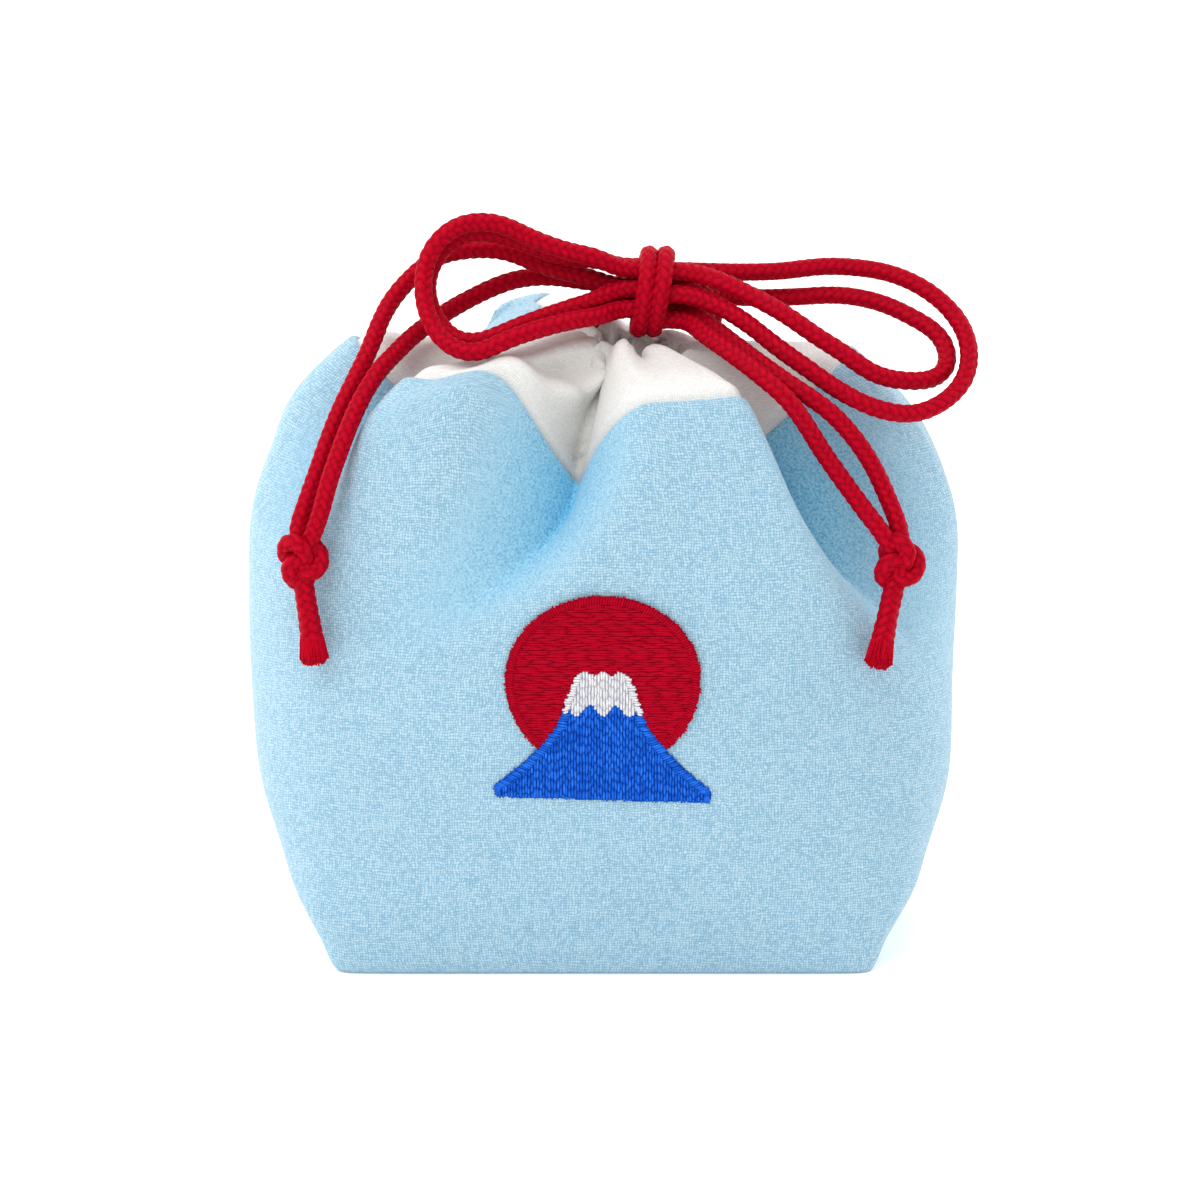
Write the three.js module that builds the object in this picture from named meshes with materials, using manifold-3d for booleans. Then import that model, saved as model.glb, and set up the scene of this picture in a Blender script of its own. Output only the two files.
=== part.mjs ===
// A small drawstring pouch: a crepe bag with a boxed base, a gathered collar, an embroidered
// motif on the front and braided cords tied in a bow over the mouth.
// Millimetres, +Z up. The front faces -Y and the base rests on Z = 0.

import * as THREE from 'three';
import { mergeVertices } from 'three/addons/utils/BufferGeometryUtils.js';
import Module from 'manifold-3d';

const wasm = await Module();
wasm.setup();

// Driving sizes
const BODY_WALL = 1.4;
const COLLAR_WALL = 1.1;
const WALL_MOST = 2.8;
const SEAM_GAP = 0.6;
const COLUMNS = 72;
const BELLY_HALF_WIDTH = 63;
const BELLY_HALF_DEPTH = 34;
const HEART_HEIGHT = 58;
const CORD = 3.2;
const CORD_SIDES = 8;
const CORD_STEP = 2.2 * CORD;
const FIT_GAP = 0.3;
const THREAD_LIFT = 0.3;
const THREAD_HEIGHT = 0.7;

const CREPE_BLUE = '#a5d1e8';
const CREPE_WHITE = '#eceae8';
const CORD_RED = '#b40a28';
const THREAD_RED = '#b0102c';
const THREAD_BLUE = '#1b60d2';
const THREAD_WHITE = '#e6e6ea';

// The smooth bag before it is folded: a row for each section, from the edge of the base at
// rise 0, over the seam of the collar at rise 1, to the rim of the mouth at rise 2.
// sideLift raises the left and right of a section, square is the power of its rounded outline,
// and shift moves it along X.
const SECTIONS = [
  { rise: 0.0, z: 0.0, sideLift: 0.0, halfWidth: 47.4, halfDepth: 29.6, square: 26.0, shift: 0.1 },
  { rise: 0.03, z: 1.2, sideLift: 0.0, halfWidth: 48.2, halfDepth: 30.6, square: 22.0, shift: 0.0 },
  { rise: 0.07, z: 5.0, sideLift: 0.0, halfWidth: 50.3, halfDepth: 31.3, square: 12.0, shift: -0.1 },
  { rise: 0.17, z: 15.0, sideLift: 0.0, halfWidth: 56.8, halfDepth: 32.5, square: 4.8, shift: 0.1 },
  { rise: 0.31, z: 30.0, sideLift: 0.0, halfWidth: 61.6, halfDepth: 33.7, square: 3.3, shift: -0.1 },
  { rise: 0.47, z: 47.0, sideLift: 0.0, halfWidth: 62.6, halfDepth: 34.3, square: 2.7, shift: -0.4 },
  { rise: 0.63, z: 64.0, sideLift: 0.0, halfWidth: 62.8, halfDepth: 34.2, square: 2.5, shift: -0.2 },
  { rise: 0.77, z: 78.0, sideLift: 0.0, halfWidth: 62.2, halfDepth: 33.2, square: 2.5, shift: 0.0 },
  { rise: 0.88, z: 89.0, sideLift: 0.3, halfWidth: 58.4, halfDepth: 31.8, square: 2.5, shift: 0.0 },
  { rise: 0.95, z: 96.6, sideLift: 1.2, halfWidth: 52.8, halfDepth: 30.2, square: 2.5, shift: 0.0 },
  { rise: 1.0, z: 102.2, sideLift: 4.2, halfWidth: 43.4, halfDepth: 27.8, square: 2.4, shift: 0.5 },
  { rise: 1.2, z: 105.2, sideLift: 2.0, halfWidth: 34.6, halfDepth: 22.6, square: 2.3, shift: 1.6 },
  { rise: 1.5, z: 106.8, sideLift: 0.4, halfWidth: 25.0, halfDepth: 15.4, square: 2.2, shift: 3.0 },
  { rise: 1.8, z: 107.4, sideLift: 0.0, halfWidth: 17.6, halfDepth: 9.0, square: 2.0, shift: 3.6 },
  { rise: 2.0, z: 107.2, sideLift: 0.0, halfWidth: 13.6, halfDepth: 6.0, square: 2.0, shift: 3.8 },
];

// Folds pull the wall towards the heart of the bag, or puff it out where they are below zero.
// at, left and right are turns in degrees from the front towards +X, seam and mouth are shares
// of the distance to the heart, start is the rise where the fold begins, and crease runs from
// 1, a sharp fold, to 2, a round one. drift is the degrees that a fold moves by the square of
// the rise below the seam, and swing the degrees that it moves by the rise above it.
const FOLDS = [
  {
    name: 'front cleft',
    at: -9,
    left: 19,
    right: 18,
    seam: 0.39,
    mouth: 0.03,
    start: 0.52,
    crease: 1.3,
    drift: -130,
    swing: -9,
  },
  { name: 'front left puff', at: -34, left: 20, right: 22, seam: -0.07, mouth: 0, start: 0.75, crease: 2 },
  {
    name: 'right cleft',
    at: 44,
    left: 19,
    right: 34,
    seam: 0.4,
    mouth: 0.07,
    start: 0.44,
    crease: 1.3,
    drift: 75,
  },
  { name: 'right dip', at: 112, left: 20, right: 22, seam: 0.08, mouth: 0.08, start: 0.74, crease: 1.5 },
  { name: 'back cleft', at: 152, left: 34, right: 24, seam: 0.2, mouth: 0.06, start: 0.6, crease: 1.4 },
  { name: 'back puff', at: 198, left: 24, right: 15, seam: -0.19, mouth: -0.04, start: 0.66, crease: 2 },
  { name: 'left dip', at: 240, left: 30, right: 22, seam: 0.12, mouth: 0.08, start: 0.72, crease: 1.5 },
  { name: 'left cleft', at: 300, left: 24, right: 20, seam: 0.16, mouth: 0.08, start: 0.62, crease: 1.4 },
  { name: 'front gather', at: 12, left: 8, right: 10, seam: 0, mouth: 0.03, start: 1.2, crease: 1.8 },
  { name: 'pocket', at: -36, left: 12, right: 12, seam: 0.04, mouth: 0.02, start: 0.96, crease: 1.5 },
  { name: 'right gather', at: 78, left: 13, right: 13, seam: 0.01, mouth: 0.06, start: 0.98, crease: 1.5 },
  { name: 'back gather', at: 130, left: 11, right: 12, seam: 0.01, mouth: 0.07, start: 0.98, crease: 1.5 },
  { name: 'puff gather', at: 196, left: 13, right: 13, seam: 0.02, mouth: 0.08, start: 0.98, crease: 1.5 },
  { name: 'left ear', at: 270, left: 20, right: 20, seam: -0.04, mouth: 0.06, start: 0.86, crease: 1.8 },
];

// Rows of the wall's mesh, as rises
const BODY_ROWS = [0, 0.03, 0.07, 0.17, 0.31, 0.47, 0.57, 0.66, 0.75, 0.83, 0.89, 0.93, 0.965];
const BODY_INNER_ROWS = [0.07, 0.17, 0.31, 0.47, 0.57, 0.66, 0.75, 0.83, 0.89, 0.93, 0.965];
const COLLAR_ROWS = [1.1, 1.24, 1.4, 1.56, 1.72, 1.87, 2];

// Fields of the embroidery, seen from the front
const SUN = { x: -0.2, z: 55.2, radius: 16.8, crown: 14.8 };
const MOUNTAIN = {
  x: -0.2,
  foot: 33.2,
  shoulder: 49.6,
  summit: 55.8,
  footHalf: 18.8,
  shoulderHalf: 6.8,
  summitHalf: 4.6,
  slope: 1.25,
  tooth: 1.0,
  teeth: 3,
};
const FIELD_GAP = 0.45;
const SUN_MEETS = 43.4;
const SUN_INNER = 0.65;

// The bow
const KNOT = { x: 8.4, y: 0, z: 116.4, halfLength: 4.2, core: 5.9, turn: 6.6, spacing: 3.4, lean: 9 };
const LEAD = 1.6;
const TIP = 4.2;

// The loops, each from its upper place on an end face of the knot to its lower one. leave and
// enter are y and z from the middle of the knot, side is -1 for the left face, and route holds
// points as x, y, z.
const LOOPS = [
  {
    name: 'loop_left_1',
    side: -1,
    leave: [-2.1, 4.6],
    enter: [-4.2, -2.3],
    route: [
      [-0.5, -3.5, 123.0], [-6.5, -4.0, 124.5], [-13.0, -4.5, 127.0], [-18.0, -5.0, 129.5],
      [-23.5, -6.0, 130.0], [-27.5, -8.0, 128.5], [-30.5, -9.5, 125.0], [-31.5, -11.0, 120.0],
      [-31.0, -13.0, 116.0], [-29.0, -15.5, 112.2], [-26.0, -17.5, 110.0], [-22.0, -19.0, 109.5],
      [-17.0, -18.5, 111.0], [-11.0, -16.0, 112.3], [-5.0, -12.0, 113.2], [0.0, -7.6, 113.5],
    ],
  },
  {
    name: 'loop_left_2',
    side: -1,
    leave: [1.4, 4.2],
    enter: [-2.7, 1.0],
    route: [
      [-0.5, 0.5, 122.0], [-6.5, 0.0, 122.5], [-12.0, -0.5, 124.5], [-17.5, -1.0, 126.5],
      [-23.0, -2.0, 127.5], [-27.0, -4.0, 126.0], [-29.5, -6.0, 123.5], [-31.0, -7.5, 119.0],
      [-30.0, -9.5, 115.0], [-28.0, -11.8, 112.2], [-25.0, -13.9, 110.5], [-21.0, -15.3, 110.8],
      [-16.5, -14.6, 112.8], [-10.5, -11.6, 114.8], [-4.5, -7.8, 116.4], [0.0, -4.2, 117.4],
    ],
  },
  {
    name: 'loop_right_1',
    side: 1,
    leave: [1.1, 3.5],
    enter: [-4.4, 0.4],
    route: [
      [21.0, 2.0, 119.5], [31.0, 5.0, 119.0], [39.0, 7.0, 119.5], [47.0, 7.0, 119.0],
      [52.5, 5.0, 118.0], [58.0, 2.0, 115.5], [62.0, -1.0, 112.0], [64.0, -5.0, 108.0],
      [63.5, -9.0, 103.5], [60.0, -13.0, 100.0], [54.0, -16.0, 98.0], [48.0, -17.0, 99.0],
      [41.5, -17.0, 102.0], [35.5, -16.0, 106.0], [30.5, -13.0, 109.0], [24.5, -9.0, 113.0],
      [19.0, -5.5, 115.5],
    ],
  },
  {
    name: 'loop_right_2',
    side: 1,
    leave: [-0.9, 0.2],
    enter: [-2.5, 4.1],
    route: [
      [21.0, 5.0, 114.5], [28.0, 6.0, 114.0], [34.5, 7.0, 114.0], [42.0, 6.0, 114.5],
      [49.0, 4.0, 113.5], [54.5, 1.0, 111.5], [59.0, -2.0, 109.0], [60.5, -5.0, 105.5],
      [58.5, -9.0, 103.0], [52.5, -12.0, 103.0], [47.0, -13.0, 104.5], [42.0, -13.0, 108.0],
      [37.0, -12.0, 111.0], [31.5, -10.0, 114.5], [26.0, -7.0, 117.0], [20.5, -4.5, 119.2],
    ],
  },
];

// The hanging strands, each from the knot of the bow to the knot at its end.
const TAILS = [
  {
    name: 'tail_left_1',
    side: -1,
    leave: [0.8, 0.7],
    route: [
      [-2.5, 1.5, 118.0], [-10.5, 2.0, 119.5], [-17.5, 3.0, 122.5], [-23.5, 3.0, 123.0],
      [-29.0, 1.5, 122.5], [-33.5, -1.0, 119.5], [-37.0, -4.0, 116.0], [-39.0, -8.0, 113.0],
      [-40.5, -11.5, 109.5], [-42.5, -15.0, 105.5], [-45.5, -18.5, 100.0], [-48.0, -21.0, 94.0],
      [-50.0, -23.0, 88.5], [-52.0, -24.5, 83.0], [-53.2, -26.0, 79.6],
    ],
  },
  {
    name: 'tail_left_2',
    side: -1,
    leave: [4.4, 0.2],
    route: [
      [-2.5, 5.5, 117.0], [-10.5, 5.5, 118.0], [-16.5, 4.0, 117.5], [-23.5, 1.0, 115.0],
      [-29.0, -3.0, 112.5], [-33.5, -7.5, 110.0], [-36.5, -12.0, 107.8], [-39.5, -17.5, 105.5],
      [-43.0, -22.5, 100.0], [-45.5, -25.5, 94.0], [-47.5, -27.0, 88.5], [-49.0, -27.8, 83.0],
      [-50.2, -28.0, 79.6],
    ],
  },
  {
    name: 'tail_right_1',
    side: 1,
    leave: [-3.3, -3.2],
    route: [
      [16.5, -8.0, 111.0], [22.5, -16.0, 108.5], [27.5, -20.5, 105.5], [32.0, -23.5, 102.0],
      [35.0, -22.5, 97.5], [38.0, -22.0, 92.5], [41.5, -22.0, 87.5], [45.0, -23.0, 82.8],
      [48.4, -24.8, 78.7],
    ],
  },
  {
    name: 'tail_right_2',
    side: 1,
    leave: [0.2, -3.3],
    route: [
      [17.5, -4.0, 112.0], [23.0, -10.0, 109.0], [28.5, -16.0, 106.0], [34.0, -20.0, 103.0],
      [39.0, -20.0, 99.5], [43.5, -19.5, 94.5], [46.5, -19.5, 90.0], [48.5, -20.0, 86.0],
      [50.2, -21.2, 82.0], [51.6, -22.8, 78.6],
    ],
  },
];

// The knots that end the strands, as the middle of each, and the tips below them.
const ENDS = [
  {
    side: 'left',
    at: [-52.3, -28.0, 74.8],
    tip: [[-51.9, -28.6, 69.6], [-51.0, -29.3, 64.0], [-50.2, -30.0, 57.0]],
  },
  {
    side: 'right',
    at: [51.2, -25.0, 73.6],
    tip: [[50.2, -25.6, 68.4], [49.0, -27.4, 63.5], [47.5, -30.4, 56.4]],
  },
];
const END_KNOT = { turn: 3.1, core: 3.0, pitch: 3.1, slant: 16, halfHeight: 4.8 };

// The strands from the collar up to the knot: turn and rise give the place on the collar.
const STEMS = [
  {
    name: 'stem_left_1',
    turn: -153,
    rise: 1.7,
    side: -1,
    enter: [0.0, -2.9],
    route: [[-3.6, 4.4, 112.2]],
  },
  {
    name: 'stem_left_2',
    turn: -168,
    rise: 1.7,
    side: -1,
    enter: [3.6, -3.3],
    route: [[0.2, 7.0, 112.0]],
  },
  {
    name: 'stem_right_1',
    turn: 120,
    rise: 1.75,
    side: 1,
    enter: [3.8, -2.8],
    route: [[17.8, 5.4, 111.8]],
  },
  {
    name: 'stem_right_2',
    turn: 140,
    rise: 1.5,
    side: 1,
    enter: [3.5, 0.8],
    route: [[19.5, 10.0, 113.0], [17.2, 6.8, 116.0]],
  },
];
const STEM_RISE = 1.2;

const rad = THREE.MathUtils.degToRad;

// Reads every column of a table of rows at one place, on a smooth curve through the rows.
function readRows(rows, key, place) {
  let i = 0;
  while (i < rows.length - 2 && place > rows[i + 1][key]) i += 1;
  const [p0, p1, p2, p3] = [i - 1, i, i + 1, i + 2].map(
    (k) => rows[THREE.MathUtils.clamp(k, 0, rows.length - 1)],
  );
  const span = p2[key] - p1[key];
  const t = (place - p1[key]) / span;
  const values = {};
  for (const column of Object.keys(p1)) {
    const slope1 = ((p2[column] - p0[column]) / (p2[key] - p0[key])) * span;
    const slope2 = ((p3[column] - p1[column]) / (p3[key] - p1[key])) * span;
    const start = p1[column] * (1 - 3 * t * t + 2 * t ** 3) + slope1 * (t - 2 * t * t + t ** 3);
    const end = p2[column] * (3 * t * t - 2 * t ** 3) + slope2 * (t ** 3 - t * t);
    values[column] = start + end;
  }
  return values;
}

// The share by which the folds draw the wall in at a turn and a rise.
function foldDepth(turn, rise) {
  let depth = 0;
  for (const fold of FOLDS) {
    const { drift = 0, swing = 0 } = fold;
    const at = rad(fold.at + (rise < 1 ? drift * (1 - rise) ** 2 : swing * (rise - 1)));
    const offset = THREE.MathUtils.euclideanModulo(turn - at + Math.PI, 2 * Math.PI) - Math.PI;
    const reach = Math.abs(offset) / rad(offset < 0 ? fold.left : fold.right);
    if (reach >= 1 || rise <= fold.start) continue;
    const across = (1 - reach ** fold.crease) ** 2;
    const along =
      rise < 1
        ? fold.seam * THREE.MathUtils.smoothstep(rise, fold.start, 1)
        : THREE.MathUtils.lerp(fold.seam, fold.mouth, rise - 1);
    depth += along * across;
  }
  return depth;
}

// A point of the smooth bag.
function smoothPoint(turn, rise) {
  const s = readRows(SECTIONS, 'rise', rise);
  const x = BELLY_HALF_WIDTH * Math.sin(turn);
  const y = -BELLY_HALF_DEPTH * Math.cos(turn);
  const power = (Math.abs(x) / s.halfWidth) ** s.square + (Math.abs(y) / s.halfDepth) ** s.square;
  const scale = power ** (-1 / s.square);
  const z = s.z + s.sideLift * Math.sin(turn) ** 2;
  return new THREE.Vector3(x * scale + s.shift, y * scale, z);
}

const HEART = new THREE.Vector3(0, 0, HEART_HEIGHT);

// A point of the folded outer wall.
function wallPoint(turn, rise) {
  return smoothPoint(turn, rise).sub(HEART).multiplyScalar(1 - foldDepth(turn, rise)).add(HEART);
}

// The outward direction of the wall.
function wallNormal(turn, rise) {
  const step = 0.004;
  const across = wallPoint(turn + step, rise).sub(wallPoint(turn - step, rise));
  const up = wallPoint(turn, Math.min(rise + step, 2)).sub(wallPoint(turn, Math.max(rise - step, 0)));
  return across.cross(up).normalize();
}

// A point of the inner wall, drawn in towards the heart by the thickness of the cloth.
function innerPoint(turn, rise, wall) {
  const outer = wallPoint(turn, rise);
  const inward = HEART.clone().sub(outer).normalize();
  const facing = Math.max(-inward.dot(wallNormal(turn, rise)), wall / WALL_MOST);
  return outer.addScaledVector(inward, wall / facing);
}

const TURNS = Array.from({ length: COLUMNS }, (_, j) => (2 * Math.PI * j) / COLUMNS);

// A closed triangle mesh from points and the corners of its faces.
function meshFrom(points, faces) {
  const geometry = new THREE.BufferGeometry();
  const places = points.flatMap((p) => p.toArray());
  geometry.setAttribute('position', new THREE.Float32BufferAttribute(places, 3));
  geometry.setIndex(faces.flat());
  geometry.computeVertexNormals();
  return geometry;
}

// Faces between rings of equal length, each ring given by the index of its first point.
function bandFaces(rings, count) {
  const faces = [];
  for (let i = 0; i < rings.length - 1; i += 1) {
    for (let j = 0; j < count; j += 1) {
      const k = (j + 1) % count;
      faces.push([rings[i] + j, rings[i] + k, rings[i + 1] + k]);
      faces.push([rings[i] + j, rings[i + 1] + k, rings[i + 1] + j]);
    }
  }
  return faces;
}

// The body: outer wall, rim, inner wall and the flat base.
function bodyGeometry() {
  const seamRise = riseBelowSeam();
  const outer = [...BODY_ROWS, seamRise].map((rise) => TURNS.map((turn) => wallPoint(turn, rise)));
  const inner = [...BODY_INNER_ROWS, seamRise].map((rise) =>
    TURNS.map((turn) => innerPoint(turn, rise, BODY_WALL)),
  );
  const floor = TURNS.map((turn) => innerPoint(turn, BODY_INNER_ROWS[0], BODY_WALL).setZ(BODY_WALL));
  const rings = [...outer, ...inner.reverse(), floor];
  const points = [...rings.flat(), new THREE.Vector3(), new THREE.Vector3(0, 0, BODY_WALL)];
  const starts = rings.map((_, i) => i * COLUMNS);
  const faces = bandFaces(starts, COLUMNS);
  const under = rings.length * COLUMNS;
  const lastRing = starts[starts.length - 1];
  for (let j = 0; j < COLUMNS; j += 1) {
    const k = (j + 1) % COLUMNS;
    faces.push([under, k, j]);
    faces.push([under + 1, lastRing + j, lastRing + k]);
  }
  return meshFrom(points, faces);
}

// The body's rim stops half a gap short of the seam, and the collar starts half a gap after it.
function riseBelowSeam() {
  return 1 - (SEAM_GAP / 2) * seamRate();
}

function riseAboveSeam() {
  return 1 + (SEAM_GAP / 2) * seamRate();
}

// Rise for each millimetre of cloth at the seam.
function seamRate() {
  const step = 0.01;
  return (2 * step) / smoothPoint(0, 1 + step).distanceTo(smoothPoint(0, 1 - step));
}

// The collar: a gathered band, open at the seam and at the mouth.
function collarGeometry() {
  const rows = [riseAboveSeam(), ...COLLAR_ROWS];
  const outer = rows.map((rise) => TURNS.map((turn) => wallPoint(turn, rise)));
  const inner = rows.map((rise) => TURNS.map((turn) => innerPoint(turn, rise, COLLAR_WALL)));
  const rings = [...outer, ...inner.reverse()];
  const starts = rings.map((_, i) => i * COLUMNS);
  return meshFrom(rings.flat(), bandFaces([...starts, 0], COLUMNS));
}

// The place on the front wall, as a turn and a rise, that lies behind x and z.
function frontPlace(x, z) {
  const search = (low, high, value, target) => {
    let [a, b] = [low, high];
    for (let i = 0; i < 40; i += 1) {
      const middle = (a + b) / 2;
      if (value(middle) < target) a = middle;
      else b = middle;
    }
    return (a + b) / 2;
  };
  const rise = search(0.03, 0.95, (r) => smoothPoint(0, r).z, z);
  const turn = search(rad(-75), rad(75), (t) => smoothPoint(t, rise).x, x);
  return [turn, rise];
}

// A thin field of thread on the front wall. field(s, t) gives x and z for s and t from 0 to 1,
// with s running to the right and t running up.
function threadField(field, across, up) {
  const points = [];
  for (const lift of [THREAD_LIFT + THREAD_HEIGHT, THREAD_LIFT]) {
    for (let j = 0; j <= up; j += 1) {
      for (let i = 0; i <= across; i += 1) {
        const [turn, rise] = frontPlace(...field(i / across, j / up));
        points.push(wallPoint(turn, rise).addScaledVector(wallNormal(turn, rise), lift));
      }
    }
  }
  const width = across + 1;
  const back = width * (up + 1);
  const faces = [];
  for (let j = 0; j < up; j += 1) {
    for (let i = 0; i < across; i += 1) {
      const [a, b, c, d] = [j * width + i, j * width + i + 1, (j + 1) * width + i + 1, (j + 1) * width + i];
      faces.push([a, b, c], [a, c, d]);
      faces.push([back + a, back + c, back + b], [back + a, back + d, back + c]);
    }
  }
  const rim = [];
  for (let i = 0; i < across; i += 1) rim.push(i);
  for (let j = 0; j < up; j += 1) rim.push(j * width + across);
  for (let i = across; i > 0; i -= 1) rim.push(up * width + i);
  for (let j = up; j > 0; j -= 1) rim.push(j * width);
  rim.forEach((a, i) => {
    const b = rim[(i + 1) % rim.length];
    faces.push([a, back + a, back + b], [a, back + b, b]);
  });
  return meshFrom(points, faces);
}

// Half the mountain's width at a height, with slopes that curve in.
function mountainHalf(z) {
  const up = (z - MOUNTAIN.foot) / (MOUNTAIN.shoulder - MOUNTAIN.foot);
  if (up <= 1) {
    const spread = MOUNTAIN.footHalf - MOUNTAIN.shoulderHalf;
    return MOUNTAIN.shoulderHalf + spread * (1 - up) ** MOUNTAIN.slope;
  }
  const cap = (z - MOUNTAIN.shoulder) / (MOUNTAIN.summit - MOUNTAIN.shoulder);
  return THREE.MathUtils.lerp(MOUNTAIN.shoulderHalf, MOUNTAIN.summitHalf, cap);
}

// The wavy line between the blue of the mountain and its snow, and the bumps on the summit.
const snowLine = (s) => MOUNTAIN.shoulder + MOUNTAIN.tooth * Math.cos(2 * Math.PI * MOUNTAIN.teeth * s);
const summitLine = (s) => MOUNTAIN.summit + 0.8 * MOUNTAIN.tooth * Math.abs(Math.sin(3 * Math.PI * s));

const acrossMountain = (s, z) => MOUNTAIN.x + (2 * s - 1) * mountainHalf(z);

function mountainField(s, t) {
  const z = THREE.MathUtils.lerp(MOUNTAIN.foot, snowLine(s) - FIELD_GAP, t);
  return [acrossMountain(s, z), z];
}

function snowField(s, t) {
  const z = THREE.MathUtils.lerp(snowLine(s), summitLine(s), t);
  return [acrossMountain(s, z), z];
}

// The sun fills the ring between the mountain's outline and its own edge, from where the edge
// meets the left slope, over the top, to where it meets the right slope.
function sunEdge(angle) {
  const up = Math.sin(angle) > 0 ? SUN.crown : SUN.radius;
  return [SUN.x + SUN.radius * Math.cos(angle), SUN.z + up * Math.sin(angle)];
}

function sunField(s, t) {
  const dip = Math.asin((SUN.z - SUN_MEETS) / SUN.radius);
  const [edgeX, edgeZ] = sunEdge(THREE.MathUtils.lerp(Math.PI + dip, -dip, s));
  const side = s < 0.5 ? -1 : 1;
  const climb = THREE.MathUtils.clamp(Math.abs(2 * s - 1) * 1.6 - 0.6, 0, 1);
  const top = MOUNTAIN.summit + 2 * MOUNTAIN.tooth;
  const innerZ = THREE.MathUtils.lerp(top, SUN_MEETS, climb);
  const crossing = THREE.MathUtils.clamp((2 * s - 1) / 0.375, -1, 1);
  const slopeX = side * (mountainHalf(Math.min(innerZ, MOUNTAIN.summit)) + SUN_INNER);
  const innerX = MOUNTAIN.x + (climb > 0 ? slopeX : crossing * (MOUNTAIN.summitHalf + SUN_INNER));
  return [THREE.MathUtils.lerp(innerX, edgeX, t), THREE.MathUtils.lerp(innerZ, edgeZ, t)];
}

// A braided cord along hand-chosen points: a tube with flat ends.
function strandGeometry(points, diameter = CORD) {
  const path = new THREE.CatmullRomCurve3(points, false, 'centripetal');
  const section = new THREE.Shape();
  const corners = Array.from({ length: CORD_SIDES }, (_, i) => {
    const angle = (2 * Math.PI * i) / CORD_SIDES;
    return new THREE.Vector2(Math.cos(angle), Math.sin(angle)).multiplyScalar(diameter / 2);
  });
  section.setFromPoints(corners);
  const steps = Math.max(3, Math.round(path.getLength() / CORD_STEP));
  return new THREE.ExtrudeGeometry(section, { steps, bevelEnabled: false, extrudePath: path });
}

// Joins closed geometries into one solid.
function fuse(geometries) {
  const solids = geometries.map((source) => {
    const plain = source.clone();
    plain.deleteAttribute('normal');
    plain.deleteAttribute('uv');
    const merged = mergeVertices(plain, 1e-4);
    const mesh = new wasm.Mesh({
      numProp: 3,
      vertProperties: new Float32Array(merged.attributes.position.array),
      triVerts: new Uint32Array(merged.index.array),
    });
    return new wasm.Manifold(mesh);
  });
  const joined = solids.reduce((whole, solid) => whole.add(solid)).getMesh();
  const geometry = new THREE.BufferGeometry();
  geometry.setAttribute('position', new THREE.BufferAttribute(joined.vertProperties, 3));
  geometry.setIndex(new THREE.BufferAttribute(joined.triVerts, 1));
  geometry.computeVertexNormals();
  return geometry;
}

// The knot of the bow: a core along X inside two turns of cord that lean a little.
function bowKnotGeometry() {
  const core = new THREE.CylinderGeometry(KNOT.core, KNOT.core, 2 * KNOT.halfLength, 14);
  core.rotateZ(Math.PI / 2);
  const turns = [-0.5, 0.5].map((side) =>
    new THREE.TorusGeometry(KNOT.turn, CORD / 2, CORD_SIDES, 18)
      .rotateY(Math.PI / 2 + rad(KNOT.lean))
      .translate(side * KNOT.spacing, 0, 0),
  );
  return fuse([core, ...turns]);
}

// The knot at the end of a pair of strands: two slanted turns round a short core.
function endKnotGeometry() {
  const core = new THREE.SphereGeometry(1, 12, 8).scale(END_KNOT.core, END_KNOT.core, END_KNOT.halfHeight);
  const turns = [-0.5, 0.5].map((side) =>
    new THREE.TorusGeometry(END_KNOT.turn, CORD / 2, CORD_SIDES, 14)
      .rotateY(rad(END_KNOT.slant))
      .translate(0, 0, side * END_KNOT.pitch),
  );
  return fuse([core, ...turns]);
}

const red = () => new THREE.MeshStandardMaterial({ color: CORD_RED, roughness: 0.6, metalness: 0 });
const cloth = (color) => new THREE.MeshStandardMaterial({ color, roughness: 0.9, metalness: 0 });
const thread = (color) => new THREE.MeshStandardMaterial({ color, roughness: 0.45, metalness: 0 });

const pouch = new THREE.Group();

function place(name, geometry, material) {
  const mesh = new THREE.Mesh(geometry, material);
  mesh.name = name;
  pouch.add(mesh);
  return mesh;
}

place('pouch_body', bodyGeometry(), cloth(CREPE_BLUE));
place('collar', collarGeometry(), cloth(CREPE_WHITE));
place('sun_patch', threadField(sunField, 28, 3), thread(THREAD_RED));
place('mountain_patch', threadField(mountainField, 16, 4), thread(THREAD_BLUE));
place('snow_patch', threadField(snowField, 16, 2), thread(THREAD_WHITE));
place('bow_knot', bowKnotGeometry(), red()).position.set(KNOT.x, KNOT.y, KNOT.z);

const along = (route) => route.map((point) => new THREE.Vector3(...point));

// A place on an end face of the bow's knot, and a point straight out from it.
const facePoints = (side, [y, z]) =>
  [0, LEAD].map(
    (out) => new THREE.Vector3(KNOT.x + side * (KNOT.halfLength + FIT_GAP + out), KNOT.y + y, KNOT.z + z),
  );

for (const { name, side, leave, enter, route } of LOOPS) {
  const points = [...facePoints(side, leave), ...along(route), ...facePoints(side, enter).reverse()];
  place(name, strandGeometry(points), red());
}
for (const { name, side, leave, route } of TAILS) {
  place(name, strandGeometry([...facePoints(side, leave), ...along(route)]), red());
}
for (const { name, turn, rise, side, enter, route } of STEMS) {
  const start = wallPoint(rad(turn), rise).add(new THREE.Vector3(0, 0, STEM_RISE));
  const lead = start.clone().add(new THREE.Vector3(0, 0, LEAD));
  const points = [start, lead, ...along(route), ...facePoints(side, enter).reverse()];
  place(name, strandGeometry(points), red());
}
for (const { side, at, tip } of ENDS) {
  place(`end_knot_${side}`, endKnotGeometry(), red()).position.set(...at);
  place(`tip_${side}`, strandGeometry(along(tip), TIP), red());
}

export default pouch;
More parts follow.
